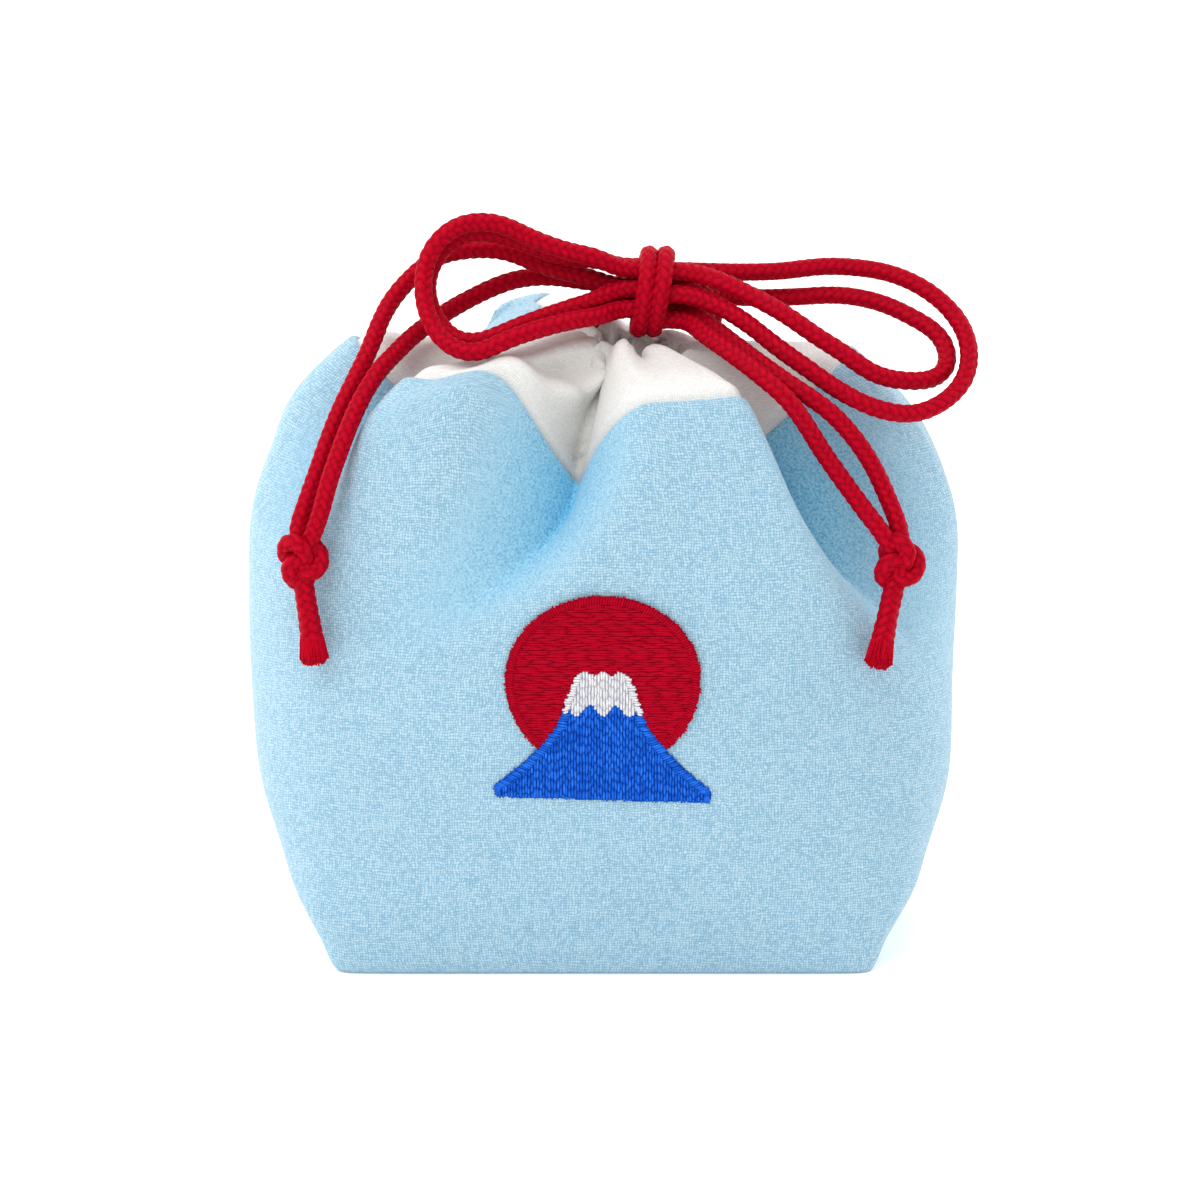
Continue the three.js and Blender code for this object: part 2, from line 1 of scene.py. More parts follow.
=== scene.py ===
"""Dresses the drawstring pouch: crepe body and collar, stitched motif and braided cords.

Lengths are in millimetres until a mesh is made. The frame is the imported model's: +Z up out
of the mouth, -Y out of the embroidered front, +X to the right as seen from the front.
"""
import logging
import math
from collections.abc import Callable
from dataclasses import astuple, dataclass, field
from enum import Enum
from functools import partial

import bpy
import numpy as np
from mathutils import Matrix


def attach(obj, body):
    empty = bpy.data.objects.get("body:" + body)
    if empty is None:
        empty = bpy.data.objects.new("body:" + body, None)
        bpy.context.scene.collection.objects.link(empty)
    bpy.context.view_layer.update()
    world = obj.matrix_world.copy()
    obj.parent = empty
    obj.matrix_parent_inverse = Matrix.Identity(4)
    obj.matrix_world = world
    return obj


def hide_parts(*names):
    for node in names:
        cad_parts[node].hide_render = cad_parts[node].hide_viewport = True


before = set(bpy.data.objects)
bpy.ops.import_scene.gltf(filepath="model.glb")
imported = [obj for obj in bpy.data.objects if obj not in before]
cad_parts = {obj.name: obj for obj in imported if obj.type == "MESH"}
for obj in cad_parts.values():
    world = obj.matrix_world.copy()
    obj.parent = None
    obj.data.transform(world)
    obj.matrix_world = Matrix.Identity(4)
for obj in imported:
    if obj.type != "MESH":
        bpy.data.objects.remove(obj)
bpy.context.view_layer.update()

LOG = logging.getLogger("pouch")
MM = 0.001
TURN = 2 * math.pi
# One unit of the cloth's UV map is this many millimetres.
UV_UNIT = 100.0
# The range that the values of a noise texture really fill.
NOISE_SPAN = (0.3, 0.7)
WHITE = "#ffffff"

Socket = bpy.types.NodeSocket
Source = float | tuple | Socket | bpy.types.Node
NodeAdder = Callable[..., bpy.types.Node]
Pair = tuple[float, float]
Triple = tuple[float, float, float]
Faces = list[tuple[int, ...]]
# The points, the faces and a mark for each point of a mesh.
MeshParts = tuple[np.ndarray, Faces, np.ndarray]
# A material, the point attribute that it reads, and a slot name.
Finish = tuple[bpy.types.Material, str, str]


class Side(Enum):
    """The side of the bow's knot that a strand is on."""

    LEFT = -1
    RIGHT = 1


class FarEnd(Enum):
    """What a strand runs into at its far end."""

    BOW = "object"
    KNOT = "knot"


class Run(Enum):
    """Which way the stitches of a filled field lie."""

    LEVEL = 0
    UPRIGHT = 1


class Motif(Enum):
    """A field of the embroidery."""

    SUN = "sun"
    MOUNTAIN = "mountain"
    SNOW = "snow"


def linear(code: str) -> tuple[float, float, float, float]:
    """Turns an sRGB hex colour into linear RGBA.

    Args:
        code: The colour as six hex digits after a hash mark.

    Returns:
        Linear red, green, blue and an alpha of one.
    """
    parts = [int(code[i:i + 2], 16) / 255 for i in (1, 3, 5)]
    red, green, blue = [p / 12.92 if p <= 0.04045 else ((p + 0.055) / 1.055) ** 2.4 for p in parts]
    return red, green, blue, 1.0


def add_node(
    tree: bpy.types.NodeTree, kind: str, inputs: dict[str | int, Source] | None = None, **settings: object
) -> bpy.types.Node:
    """Adds a shader node with its settings and links.

    Args:
        tree: The material's node tree.
        kind: Blender's name for the node's class, without ShaderNode in front.
        inputs: A constant, an output or a node for each input named here. Of a node, the first
            output is taken.
        settings: Values for the node's own properties.

    Returns:
        The new node.
    """
    node = tree.nodes.new(f"ShaderNode{kind}")
    for key, value in settings.items():
        setattr(node, key, value)
    for key, source in (inputs or {}).items():
        if isinstance(source, bpy.types.Node):
            source = source.outputs[0]
        if isinstance(source, Socket):
            tree.links.new(source, node.inputs[key])
        else:
            node.inputs[key].default_value = source
    return node


def new_material(name: str) -> tuple[bpy.types.Material, NodeAdder]:
    """Starts a material with no nodes.

    Args:
        name: The material's name.

    Returns:
        The material, and add_node for its tree.
    """
    material = bpy.data.materials.new(name)
    material.use_nodes = True
    material.node_tree.nodes.clear()
    return material, partial(add_node, material.node_tree)


def span(way: str, ends: Pair) -> dict[str, float]:
    """Names the ends of the range that a node maps, where way is From or To."""
    return {f"{way} Min": ends[0], f"{way} Max": ends[1]}


def smoothstep(value: np.ndarray, low: float, high: float) -> np.ndarray:
    """Eases values from 0 at low to 1 at high."""
    t = np.clip((value - low) / (high - low), 0, 1)
    return t * t * (3 - 2 * t)


def wrapped(angle: np.ndarray) -> np.ndarray:
    """Brings angles in radians to within half a turn of 0."""
    return np.mod(angle + math.pi, TURN) - math.pi


def unit(vectors: np.ndarray) -> np.ndarray:
    """Gives vectors a length of 1."""
    return vectors / np.linalg.norm(vectors, axis=-1, keepdims=True)


def distances(path: np.ndarray) -> np.ndarray:
    """Gives how far along a path each of its points lies."""
    return np.concatenate([[0], np.cumsum(np.linalg.norm(np.diff(path, axis=0), axis=1))])


@dataclass(frozen=True)
class CrepeFinish:
    """Polyester crepe, woven from hard-twisted yarn and piece-dyed.

    The twist crinkles the threads into short floats both ways of the weave. The small pits between
    them are painted darker as shade, and the crests are painted lighter as light. The face is matt,
    with a soft bloom where the cloth turns away, and down in the folds the colour is changed by a painted
    shade that stands in for light gone from cloth to cloth.
    """

    name: str
    # Colours by the weave's height: the crest colour is painted light on the raised threads, the body
    # colour is the cloth's own, and the pit colour is painted shade between the threads.
    crest: str
    body: str
    pit_shade: str
    # Real threads lie about 0.25 mm apart; they are drawn at 0.48 mm so that the weave shows.
    thread: float = 0.48
    pebble: float = 0.4
    pebble_heights: Pair = (0.2, 0.6)
    crinkle: float = 2.2
    wander: float = 1.2
    skips: float = 0.45
    crown: float = 0.8
    dip: float = 0.5
    slack: float = 0.6
    mottle: float = 30.0
    mottle_depth: float = 0.04
    relief: float = 0.3
    strength: float = 0.44
    roughness: float = 0.88
    roughness_spread: float = 0.06
    specular: float = 0.3
    sheen: float = 0.25
    # Painted shade in the folds: the saturation and the lightness added for each unit of fold depth,
    # standing in for light bounced from cloth to cloth.
    fold_painted_saturation: float = 0.6
    fold_painted_lightness: float = 0.18
    # Between these depths of fold, pebbles take over from the weave.
    askew: Pair = (0.02, 0.26)
    heights: Pair = (0.1, 0.76)
    mark: str = "fold"

    def grain(self, node: NodeAdder, place: Socket, fold: Socket) -> bpy.types.Node:
        """Draws the weave: threads over and under each other, with a skip here and there.

        Down in the folds, where the cloth is drawn askew, pebbles of the same size take its place.

        Args:
            node: What adds a node to the material.
            place: The cloth's UV.
            fold: How deep in a fold the cloth lies.

        Returns:
            The node that gives the weave's height, from 0 to 1.
        """
        crinkle = node("TexNoise", {"Vector": place, "Scale": UV_UNIT / self.crinkle}).outputs["Color"]
        wander = {1: (2 * self.wander, 2 * self.wander, 0.0), 2: (-self.wander, -self.wander, 0.0)}
        stirred = node("VectorMath", {0: crinkle, **wander}, operation="MULTIPLY_ADD")
        count = UV_UNIT / self.thread
        spot = node("VectorMath", {0: place, 1: (count, count, 0.0), 2: stirred}, operation="MULTIPLY_ADD")
        cell = node("VectorMath", {0: spot}, operation="FLOOR")
        chance = node("TexWhiteNoise", {"Vector": cell}, noise_dimensions="2D").outputs["Value"]
        ways = node("SeparateXYZ", {0: cell}).outputs
        total = node("Math", {0: ways[0], 1: ways[1]}, operation="ADD")
        turn = node("Math", {0: total, 1: 2.0}, operation="FLOORED_MODULO")
        skip = node("Math", {0: chance, 1: self.skips}, operation="LESS_THAN")
        swapped = node("Math", {0: turn, 1: skip}, operation="SUBTRACT")
        upright = node("Math", {0: swapped}, operation="ABSOLUTE")
        within = node("VectorMath", {0: spot}, operation="FRACTION")
        centre = {1: (2.0, 2.0, 0.0), 2: (-1.0, -1.0, 0.0)}
        middle = node("VectorMath", {0: within, **centre}, operation="MULTIPLY_ADD")
        square = node("VectorMath", {0: middle, 1: middle}, operation="MULTIPLY")
        off = node("SeparateXYZ", {0: square}).outputs
        across = node("Mix", {0: upright, 2: off[1], 3: off[0]}, data_type="FLOAT")
        along = node("Mix", {0: upright, 2: off[0], 3: off[1]}, data_type="FLOAT")
        crown = node("Math", {0: across, 1: -self.crown, 2: 1.0}, operation="MULTIPLY_ADD")
        dip = node("Math", {0: along, 1: -self.dip, 2: 1.0}, operation="MULTIPLY_ADD")
        slack = node("Math", {0: chance, 1: self.slack, 2: 1 - self.slack}, operation="MULTIPLY_ADD")
        arch = node("Math", {0: crown, 1: dip}, operation="MULTIPLY")
        height = node("Math", {0: arch, 1: slack}, operation="MULTIPLY")
        spread = node("TexCoord").outputs["Object"]
        noise = node("TexNoise", {"Vector": spread, "Scale": 1 / (self.pebble * MM), "Detail": 1.0})
        levels = {**span("From", NOISE_SPAN), **span("To", self.pebble_heights)}
        pebbles = node("MapRange", {"Value": noise, **levels})
        askew = node("MapRange", {"Value": fold, **span("From", self.askew)})
        return node("Mix", {0: askew, 2: height, 3: pebbles}, data_type="FLOAT")

    def material(self) -> bpy.types.Material:
        """Builds the cloth's material.

        Returns:
            The material, which reads the UV map named cloth and the point attribute named by mark.
        """
        material, node = new_material(self.name)
        place = node("UVMap", uv_map="cloth").outputs["UV"]
        fold = node("Attribute", attribute_name=self.mark).outputs["Fac"]
        grain = self.grain(node, place, fold)
        # Painted shade in the weave's pits and painted light on its crests, by the weave's height.
        shade = node("ValToRGB", {"Fac": grain})
        ramp = shade.color_ramp.elements
        ramp[0].position, ramp[1].position = self.heights
        ramp[0].color = linear(self.pit_shade)
        ramp[1].color = linear(self.crest)
        ramp.new(sum(self.heights) / 2).color = linear(self.body)
        patches = node("TexNoise", {"Vector": place, "Scale": UV_UNIT / self.mottle, "Detail": 2.0})
        tones = (1 - self.mottle_depth, 1 + self.mottle_depth)
        drift = node("MapRange", {"Value": patches, **span("To", tones)})
        # Painted shade in the folds: saturation and lightness change with fold depth; drift is the cloth's
        # own random mottle.
        fold_shade_saturation = node("Math", {0: fold, 1: self.fold_painted_saturation, 2: 1.0}, operation="MULTIPLY_ADD")
        bright = node("Math", {0: fold, 1: self.fold_painted_lightness, 2: drift}, operation="MULTIPLY_ADD")
        dull = (self.roughness + self.roughness_spread, self.roughness - self.roughness_spread)
        surface = {
            "Base Color": node("HueSaturation", {"Color": shade, "Saturation": fold_shade_saturation, "Value": bright}),
            "Roughness": node("MapRange", {"Value": grain, **span("To", dull)}),
            "Normal": node(
                "Bump", {"Height": grain, "Strength": self.strength, "Distance": self.relief * MM}
            ),
            "IOR": 1.5,
            "Specular IOR Level": self.specular,
            "Sheen Weight": self.sheen,
            "Sheen Roughness": 0.45,
            "Sheen Tint": linear(WHITE),
        }
        node("OutputMaterial", {"Surface": node("BsdfPrincipled", surface)})
        return material


@dataclass(frozen=True)
class YarnFinish:
    """Rayon yarn, dyed, and braided or stitched.

    Bright filaments lie side by side, with no shine that runs across them. The colour is painted
    lighter on each crest, a painted gleam, and deeper down between the yarns, a painted shade.
    """

    name: str
    # The crest colour is painted light on the yarns' tops, the body colour is the yarn's own, and the gap
    # colour is painted shade between the yarns.
    crest: str
    body: str
    gap: str
    mark: str
    roughness: float = 0.5
    fleck: float = 0.5
    fleck_depth: float = 0.32
    body_height: float = 0.55
    roughness_spread: float = 0.14
    strength: float = 0.25
    relief: float = 0.1
    specular: float = 0.03

    def material(self) -> bpy.types.Material:
        """Builds the yarn's material.

        Returns:
            The material, which reads the point attribute named by mark: 0 in a gap, 1 on a crest.
        """
        material, node = new_material(self.name)
        place = node("TexCoord").outputs["Object"]
        # Single filaments are about 0.02 mm; the flecks are drawn at 0.5 mm so that they show.
        size = 1 / (self.fleck * MM)
        fleck = node("TexNoise", {"Vector": place, "Scale": size, "Detail": 2.0, "Roughness": 0.65})
        # Painted shade in the gaps and painted light on the crests, read from the mark.
        shade = node("ValToRGB", {"Fac": node("Attribute", attribute_name=self.mark).outputs["Fac"]})
        ramp = shade.color_ramp.elements
        ramp[0].color = linear(self.gap)
        ramp[1].color = linear(self.crest)
        ramp.new(self.body_height).color = linear(self.body)
        tones = (1 - self.fleck_depth, 1 + self.fleck_depth)
        bright = node("MapRange", {"Value": fleck, **span("From", NOISE_SPAN), **span("To", tones)})
        gloss = (self.roughness + self.roughness_spread, self.roughness - self.roughness_spread)
        surface = {
            "Base Color": node("HueSaturation", {"Color": shade, "Value": bright}),
            "Roughness": node("MapRange", {"Value": fleck, **span("To", gloss)}),
            "Normal": node(
                "Bump", {"Height": fleck, "Strength": self.strength, "Distance": self.relief * MM}
            ),
            "IOR": 1.5,
            "Specular IOR Level": self.specular,
        }
        node("OutputMaterial", {"Surface": node("BsdfPrincipled", surface)})
        return material


@dataclass(frozen=True)
class FloorFinish:
    """Cast opal acrylic: the plain pale sweep the pouch stands on, lit softly from below.

    The light from below washes out the pouch's wide shadow, so that the eye sees white right up
    to a thin dark line under the base.
    """

    name: str = "opal_cast_acrylic"
    colour: str = "#fafaf9"
    glow: float = 0.18

    def material(self) -> bpy.types.Material:
        """Builds the sweep's material.

        Returns:
            The material.
        """
        material, node = new_material(self.name)
        surface = {
            "Base Color": linear(self.colour),
            "Roughness": 0.9,
            "IOR": 1.49,
            "Emission Color": linear(WHITE),
            "Emission Strength": self.glow,
        }
        node("OutputMaterial", {"Surface": node("BsdfPrincipled", surface)})
        return material


BLUE_CREPE = CrepeFinish("light_blue_woven_crepe", "#adc9d6", "#96b8ca", "#6b97b2")
WHITE_CREPE = CrepeFinish(
    "white_woven_crepe",
    "#dfdedb",
    "#d6d5d2",
    "#c8c7c4",
    relief=0.2,
    strength=0.35,
    sheen=0.1,
    # Painted shade: the white is only darkened in its folds, with no change of saturation.
    fold_painted_saturation=0.0,
    fold_painted_lightness=-0.3,
)
RED_BRAID = YarnFinish("red_braided_rayon", "#ae021e", "#9e021b", "#7c0013", "yarn", fleck_depth=0.18)
RED_THREAD = YarnFinish(
    "red_embroidery_rayon", "#ac0320", "#9c021d", "#740012", "thread", 0.45, fleck_depth=0.15
)
BLUE_THREAD = YarnFinish(
    "blue_embroidery_rayon", "#2870de", "#104fba", "#052a78", "thread", 0.45, fleck_depth=0.16
)
WHITE_THREAD = YarnFinish(
    "white_embroidery_rayon", "#d8d8dc", "#c8c8cc", "#9c9ca4", "thread", 0.45, fleck_depth=0.1
)


def add_mesh(name: str, points: np.ndarray, faces: Faces, material: bpy.types.Material) -> bpy.types.Object:
    """Puts a smooth-shaded mesh in the scene.

    Args:
        name: The object's name.
        points: Its vertices, in millimetres.
        faces: Its faces, as vertex indices.
        material: Its material.

    Returns:
        The new object.
    """
    mesh = bpy.data.meshes.new(name)
    mesh.from_pydata((points * MM).tolist(), [], faces)
    mesh.polygons.foreach_set("use_smooth", np.ones(len(mesh.polygons), bool))
    mesh.materials.append(material)
    mesh.update()
    added = bpy.data.objects.new(name, mesh)
    bpy.context.scene.collection.objects.link(added)
    return added


def make_piece(
    name: str, node: str, parts: MeshParts, finish: Finish, corners: np.ndarray | None = None
) -> bpy.types.Object:
    """Makes a piece that rides on the pouch and stands for a CAD node.

    Args:
        name: The piece's name.
        node: The CAD node.
        parts: Its points, its faces and the mark of each point.
        finish: Its material, the attribute that the marks go to, and a slot name, which is not used.
        corners: The UV of each face corner, in millimetres of cloth.

    Returns:
        The new object.
    """
    points, faces, values = parts
    material, mark, slot = finish
    piece = add_mesh(name, points, faces, material)
    stored = piece.data.attributes.new(mark, "FLOAT", "POINT")
    stored.data.foreach_set("value", values.astype(np.float32))
    if corners is not None:
        layer = piece.data.uv_layers.new(name="cloth")
        layer.data.foreach_set("uv", (corners / UV_UNIT).astype(np.float32).ravel())
    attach(piece, "root")
    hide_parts(node)
    return piece


def ring_faces(rings: int, columns: int, closed: bool = False) -> Faces:
    """Joins rings of points into quads that face outwards as the rings go up.

    Args:
        rings: How many rings there are.
        columns: How many points each ring has.
        closed: Whether the last ring joins the first.

    Returns:
        The quads.
    """
    low = np.arange(rings if closed else rings - 1)[:, None] * columns
    high = (low + columns) % (rings * columns)
    here = np.arange(columns)[None, :]
    there = (here + 1) % columns
    quads = np.stack([low + here, low + there, high + there, high + here], -1)
    return quads.reshape(-1, 4).tolist()


def end_faces(rings: int, columns: int) -> Faces:
    """Closes the first and the last ring with triangles round the two points that follow the rings.

    Args:
        rings: How many rings there are.
        columns: How many points each ring has.

    Returns:
        The triangles, first those of the first ring.
    """
    count = rings * columns
    last = count - columns
    pairs = [(j, (j + 1) % columns) for j in range(columns)]
    ends = [(count, there, here) for here, there in pairs]
    return ends + [(count + 1, last + here, last + there) for here, there in pairs]


@dataclass(frozen=True)
class Section:
    """The cloth's plan at one rise: 0 at the base, 1 at the collar seam, 2 at the mouth."""

    rise: float
    height: float
    side_lift: float
    half_width: float
    half_depth: float
    square: float
    shift: float


@dataclass(frozen=True)
class Fold:
    """A fold that pulls the cloth in, or a puff that lets it out.

    at is where it crosses the collar seam, in degrees round the pouch from the front, left and
    right are its reach either way, seam and mouth are its depths there, and start is the rise
    where it begins. drift is the degrees it moves by the square of the rise below the seam, and
    swing the degrees it moves by the rise above it.
    """

    at: float
    left: float
    right: float
    seam: float
    mouth: float
    start: float
    crease: float
    drift: float = 0.0
    swing: float = 0.0


@dataclass(frozen=True)
class PouchForm:
    """The shape that the filled pouch's cloth takes, from its base to its drawn-up mouth."""

    half_width: float = 63.0
    half_depth: float = 34.0
    heart: float = 58.0
    normal_step: float = 0.004
    front_rises: Pair = (0.03, 0.95)
    front_turn: float = 1.3
    samples: int = 400
    halvings: int = 30
    sections: tuple[Section, ...] = (
        Section(0.0, 0.0, 0.0, 47.4, 29.6, 26.0, 0.1),
        Section(0.03, 1.2, 0.0, 48.2, 30.6, 22.0, 0.0),
        Section(0.07, 5.0, 0.0, 50.3, 31.3, 12.0, -0.1),
        Section(0.17, 15.0, 0.0, 56.8, 32.5, 4.8, 0.1),
        Section(0.31, 30.0, 0.0, 61.6, 33.7, 3.3, -0.1),
        Section(0.47, 47.0, 0.0, 62.6, 34.3, 2.7, -0.4),
        Section(0.63, 64.0, 0.0, 62.8, 34.2, 2.5, -0.2),
        Section(0.77, 78.0, 0.0, 62.2, 33.2, 2.5, 0.0),
        Section(0.88, 89.0, 0.3, 58.4, 31.8, 2.5, 0.0),
        Section(0.95, 96.6, 1.2, 52.8, 30.2, 2.5, 0.0),
        Section(1.0, 102.2, 4.2, 43.4, 27.8, 2.4, 0.5),
        Section(1.2, 105.2, 2.0, 34.6, 22.6, 2.3, 1.6),
        Section(1.5, 106.8, 0.4, 25.0, 15.4, 2.2, 3.0),
        Section(1.8, 107.4, 0.0, 17.6, 9.0, 2.0, 3.6),
        Section(2.0, 107.2, 0.0, 13.6, 6.0, 2.0, 3.8),
    )
    folds: tuple[Fold, ...] = (
        Fold(-9, 19, 18, 0.39, 0.03, 0.52, 1.3, drift=-130, swing=-9),
        Fold(-34, 20, 22, -0.07, 0.0, 0.75, 2.0),
        Fold(44, 19, 34, 0.4, 0.07, 0.44, 1.3, drift=75),
        Fold(112, 20, 22, 0.08, 0.08, 0.74, 1.5),
        Fold(152, 34, 24, 0.2, 0.06, 0.6, 1.4),
        Fold(198, 24, 15, -0.19, -0.04, 0.66, 2.0),
        Fold(240, 30, 22, 0.12, 0.08, 0.72, 1.5),
        Fold(300, 24, 20, 0.16, 0.08, 0.62, 1.4),
        Fold(12, 8, 10, 0.0, 0.03, 1.2, 1.8),
        Fold(-36, 12, 12, 0.04, 0.02, 0.96, 1.5),
        Fold(78, 13, 13, 0.01, 0.06, 0.98, 1.5),
        Fold(130, 11, 12, 0.01, 0.07, 0.98, 1.5),
        Fold(196, 13, 13, 0.02, 0.08, 0.98, 1.5),
        Fold(270, 20, 20, -0.04, 0.06, 0.86, 1.8),
    )

    def read(self, rise: np.ndarray) -> list[np.ndarray]:
        """Reads the table of sections at a rise, on a smooth curve through its rows.

        Args:
            rise: Where to read it.

        Returns:
            Height, side lift, half width, half depth, squareness and shift.
        """
        rows = np.array([astuple(section) for section in self.sections])
        rise = np.asarray(rise, float)
        last = len(rows) - 1
        at = np.clip(np.searchsorted(rows[:, 0], rise, side="left") - 1, 0, last - 1)
        before, low, high, after = (rows[np.clip(at + k, 0, last)] for k in (-1, 0, 1, 2))
        gap = (high - low)[..., :1]
        t = ((rise - low[..., 0]) / gap[..., 0])[..., None]
        leave = (high - before) / (high[..., :1] - before[..., :1]) * gap
        meet = (after - low) / (after[..., :1] - low[..., :1]) * gap
        value = low * (1 - 3 * t**2 + 2 * t**3) + leave * (t - 2 * t**2 + t**3)
        value = value + high * (3 * t**2 - 2 * t**3) + meet * (t**3 - t**2)
        return [value[..., k] for k in range(1, rows.shape[1])]

    def smooth(self, turn: np.ndarray, rise: np.ndarray) -> np.ndarray:
        """Gives the cloth's place with no folds in it.

        Args:
            turn: Radians round the pouch from the front.
            rise: How far up the cloth.

        Returns:
            The points.
        """
        height, lift, width, depth, square, shift = self.read(rise)
        x = self.half_width * np.sin(turn)
        y = -self.half_depth * np.cos(turn)
        reach = ((np.abs(x) / width) ** square + (np.abs(y) / depth) ** square) ** (-1 / square)
        return np.stack([x * reach + shift, y * reach, height + lift * np.sin(turn) ** 2], -1)

    def fold_depth(self, turn: np.ndarray, rise: np.ndarray) -> np.ndarray:
        """Adds up how far the folds pull the cloth in, as a share of the way to the heart.

        Args:
            turn: Radians round the pouch from the front.
            rise: How far up the cloth.

        Returns:
            The depths.
        """
        depth = np.zeros(np.broadcast(turn, rise).shape)
        for fold in self.folds:
            place = fold.at + np.where(rise < 1, fold.drift * (1 - rise) ** 2, fold.swing * (rise - 1))
            off = wrapped(turn - np.radians(place))
            reach = np.abs(off) / np.radians(np.where(off < 0, fold.left, fold.right))
            across = (1 - np.clip(reach, 0, 1) ** fold.crease) ** 2
            below = fold.seam * smoothstep(rise, fold.start, 1.0)
            above = fold.seam + (fold.mouth - fold.seam) * (rise - 1)
            depth += across * np.where(rise < 1, below, above)
        return depth

    def wall(self, turn: np.ndarray, rise: np.ndarray) -> np.ndarray:
        """Gives points on the cloth's outer face, with its folds."""
        heart = np.array([0.0, 0.0, self.heart])
        return heart + (self.smooth(turn, rise) - heart) * (1 - self.fold_depth(turn, rise))[..., None]

    def facing(self, turn: np.ndarray, rise: np.ndarray) -> tuple[np.ndarray, np.ndarray]:
        """Gives the way out of the cloth, and the way up along it.

        Args:
            turn: Radians round the pouch from the front.
            rise: How far up the cloth.

        Returns:
            Unit vectors out and up.
        """
        step = self.normal_step
        round_it = self.wall(turn + step, rise) - self.wall(turn - step, rise)
        up_it = self.wall(turn, np.minimum(rise + step, 2)) - self.wall(turn, np.maximum(rise - step, 0))
        return unit(np.cross(round_it, up_it)), unit(up_it)

    def front(self, x: np.ndarray, z: np.ndarray) -> tuple[np.ndarray, np.ndarray]:
        """Finds the place on the front wall that lies behind x and z.

        Args:
            x: Places across the front.
            z: Heights.

        Returns:
            Turns and rises.
        """
        rises = np.linspace(*self.front_rises, self.samples)
        rise = np.interp(z, self.smooth(np.zeros(self.samples), rises)[:, 2], rises)
        low = np.full(np.shape(x), -self.front_turn)
        high = -low
        for _ in range(self.halvings):
            middle = (low + high) / 2
            short = self.smooth(middle, rise)[..., 0] < x
            low = np.where(short, middle, low)
            high = np.where(short, high, middle)
        return (low + high) / 2, rise


FORM = PouchForm()
# Folds at least this deep at the collar seam part the cloth into panels.
PANEL_FOLD = 0.08
# The grain's ways up are evened out over this many columns either way.
EVEN_REACH = 14


def ring_corners(rings: list[np.ndarray], base: int = 0) -> np.ndarray:
    """Lays out the UV of each corner of a band of rings, in the order of ring_faces.

    Both ways follow the cloth's own lengths, so that the grain keeps its size where the cloth is
    gathered. Round the pouch they are measured from the middle of each panel between two deep
    folds, and the map is cut down in the folds, so that the grain stays straight on the panels.

    Args:
        rings: The rings in order, each from the back round the left, the front and the right.
        base: The ring that the ways up are measured from.

    Returns:
        An array of quads, corners and UV.
    """
    loops = np.stack([np.vstack([ring, ring[:1]]) for ring in rings])
    steps = np.linalg.norm(np.diff(loops, axis=1), axis=-1)
    along = np.concatenate([np.zeros((len(rings), 1)), np.cumsum(steps, axis=1)], axis=1)
    columns = steps.shape[1]
    cuts = np.sort([(fold.at + 180) % 360 - 180 for fold in FORM.folds if fold.seam >= PANEL_FOLD])
    panel = np.searchsorted(cuts, (np.arange(columns) + 0.5) * 360 / columns - 180)
    ends = np.concatenate([[-180.0], cuts, [180.0]])
    pins = np.round(((ends[:-1] + ends[1:]) / 2 + 180) * columns / 360).astype(int)[panel]
    shift = pins * along.max() / columns - along[:, pins]
    rises = np.linalg.norm(np.diff(loops, axis=0), axis=-1)
    up = np.concatenate([np.zeros((1, columns + 1)), np.cumsum(rises, axis=0)])
    up = (up - up[base])[:, :-1]
    weights = np.hanning(2 * EVEN_REACH + 1)
    evened = [np.roll(up, k - EVEN_REACH, axis=1) * weight for k, weight in enumerate(weights)]
    up = np.sum(evened, axis=0) / weights.sum()
    up = np.concatenate([up, up[:, :1]], axis=1)
    start = np.stack([along[:, :-1] + shift, up[:, :-1]], -1)
    stop = np.stack([along[:, 1:] + shift, up[:, 1:]], -1)
    return np.stack([start[:-1], stop[:-1], stop[1:], start[1:]], axis=2).reshape(-1, 4, 2)


@dataclass(frozen=True)
class Swell:
    """A small rounded rise or, below zero, a dimple in the cloth.

    turn and round_reach are degrees, rise and up_reach are shares of the cloth, and height is
    in millimetres.
    """

    turn: float
    rise: float
    round_reach: float
    up_reach: float
    height: float


@dataclass(frozen=True)
class Crease:
    """A sharp line where one lobe of the gathered cloth laps over the next.

    seam and mouth are its turns in degrees there, left and right its reach either way in
    degrees, depth is in millimetres, and low and high are the rises that it runs between.
    """

    seam: float
    mouth: float
    left: float
    right: float
    depth: float
    low: float
    high: float
    fade: float = 0.15
    sharpness: float = 1.2


@dataclass(frozen=True)
class Hem:
    """A place where the blue is drawn up over the seam: turn and reach in degrees, lift in rise."""

    at: float
    reach: float
    lift: float


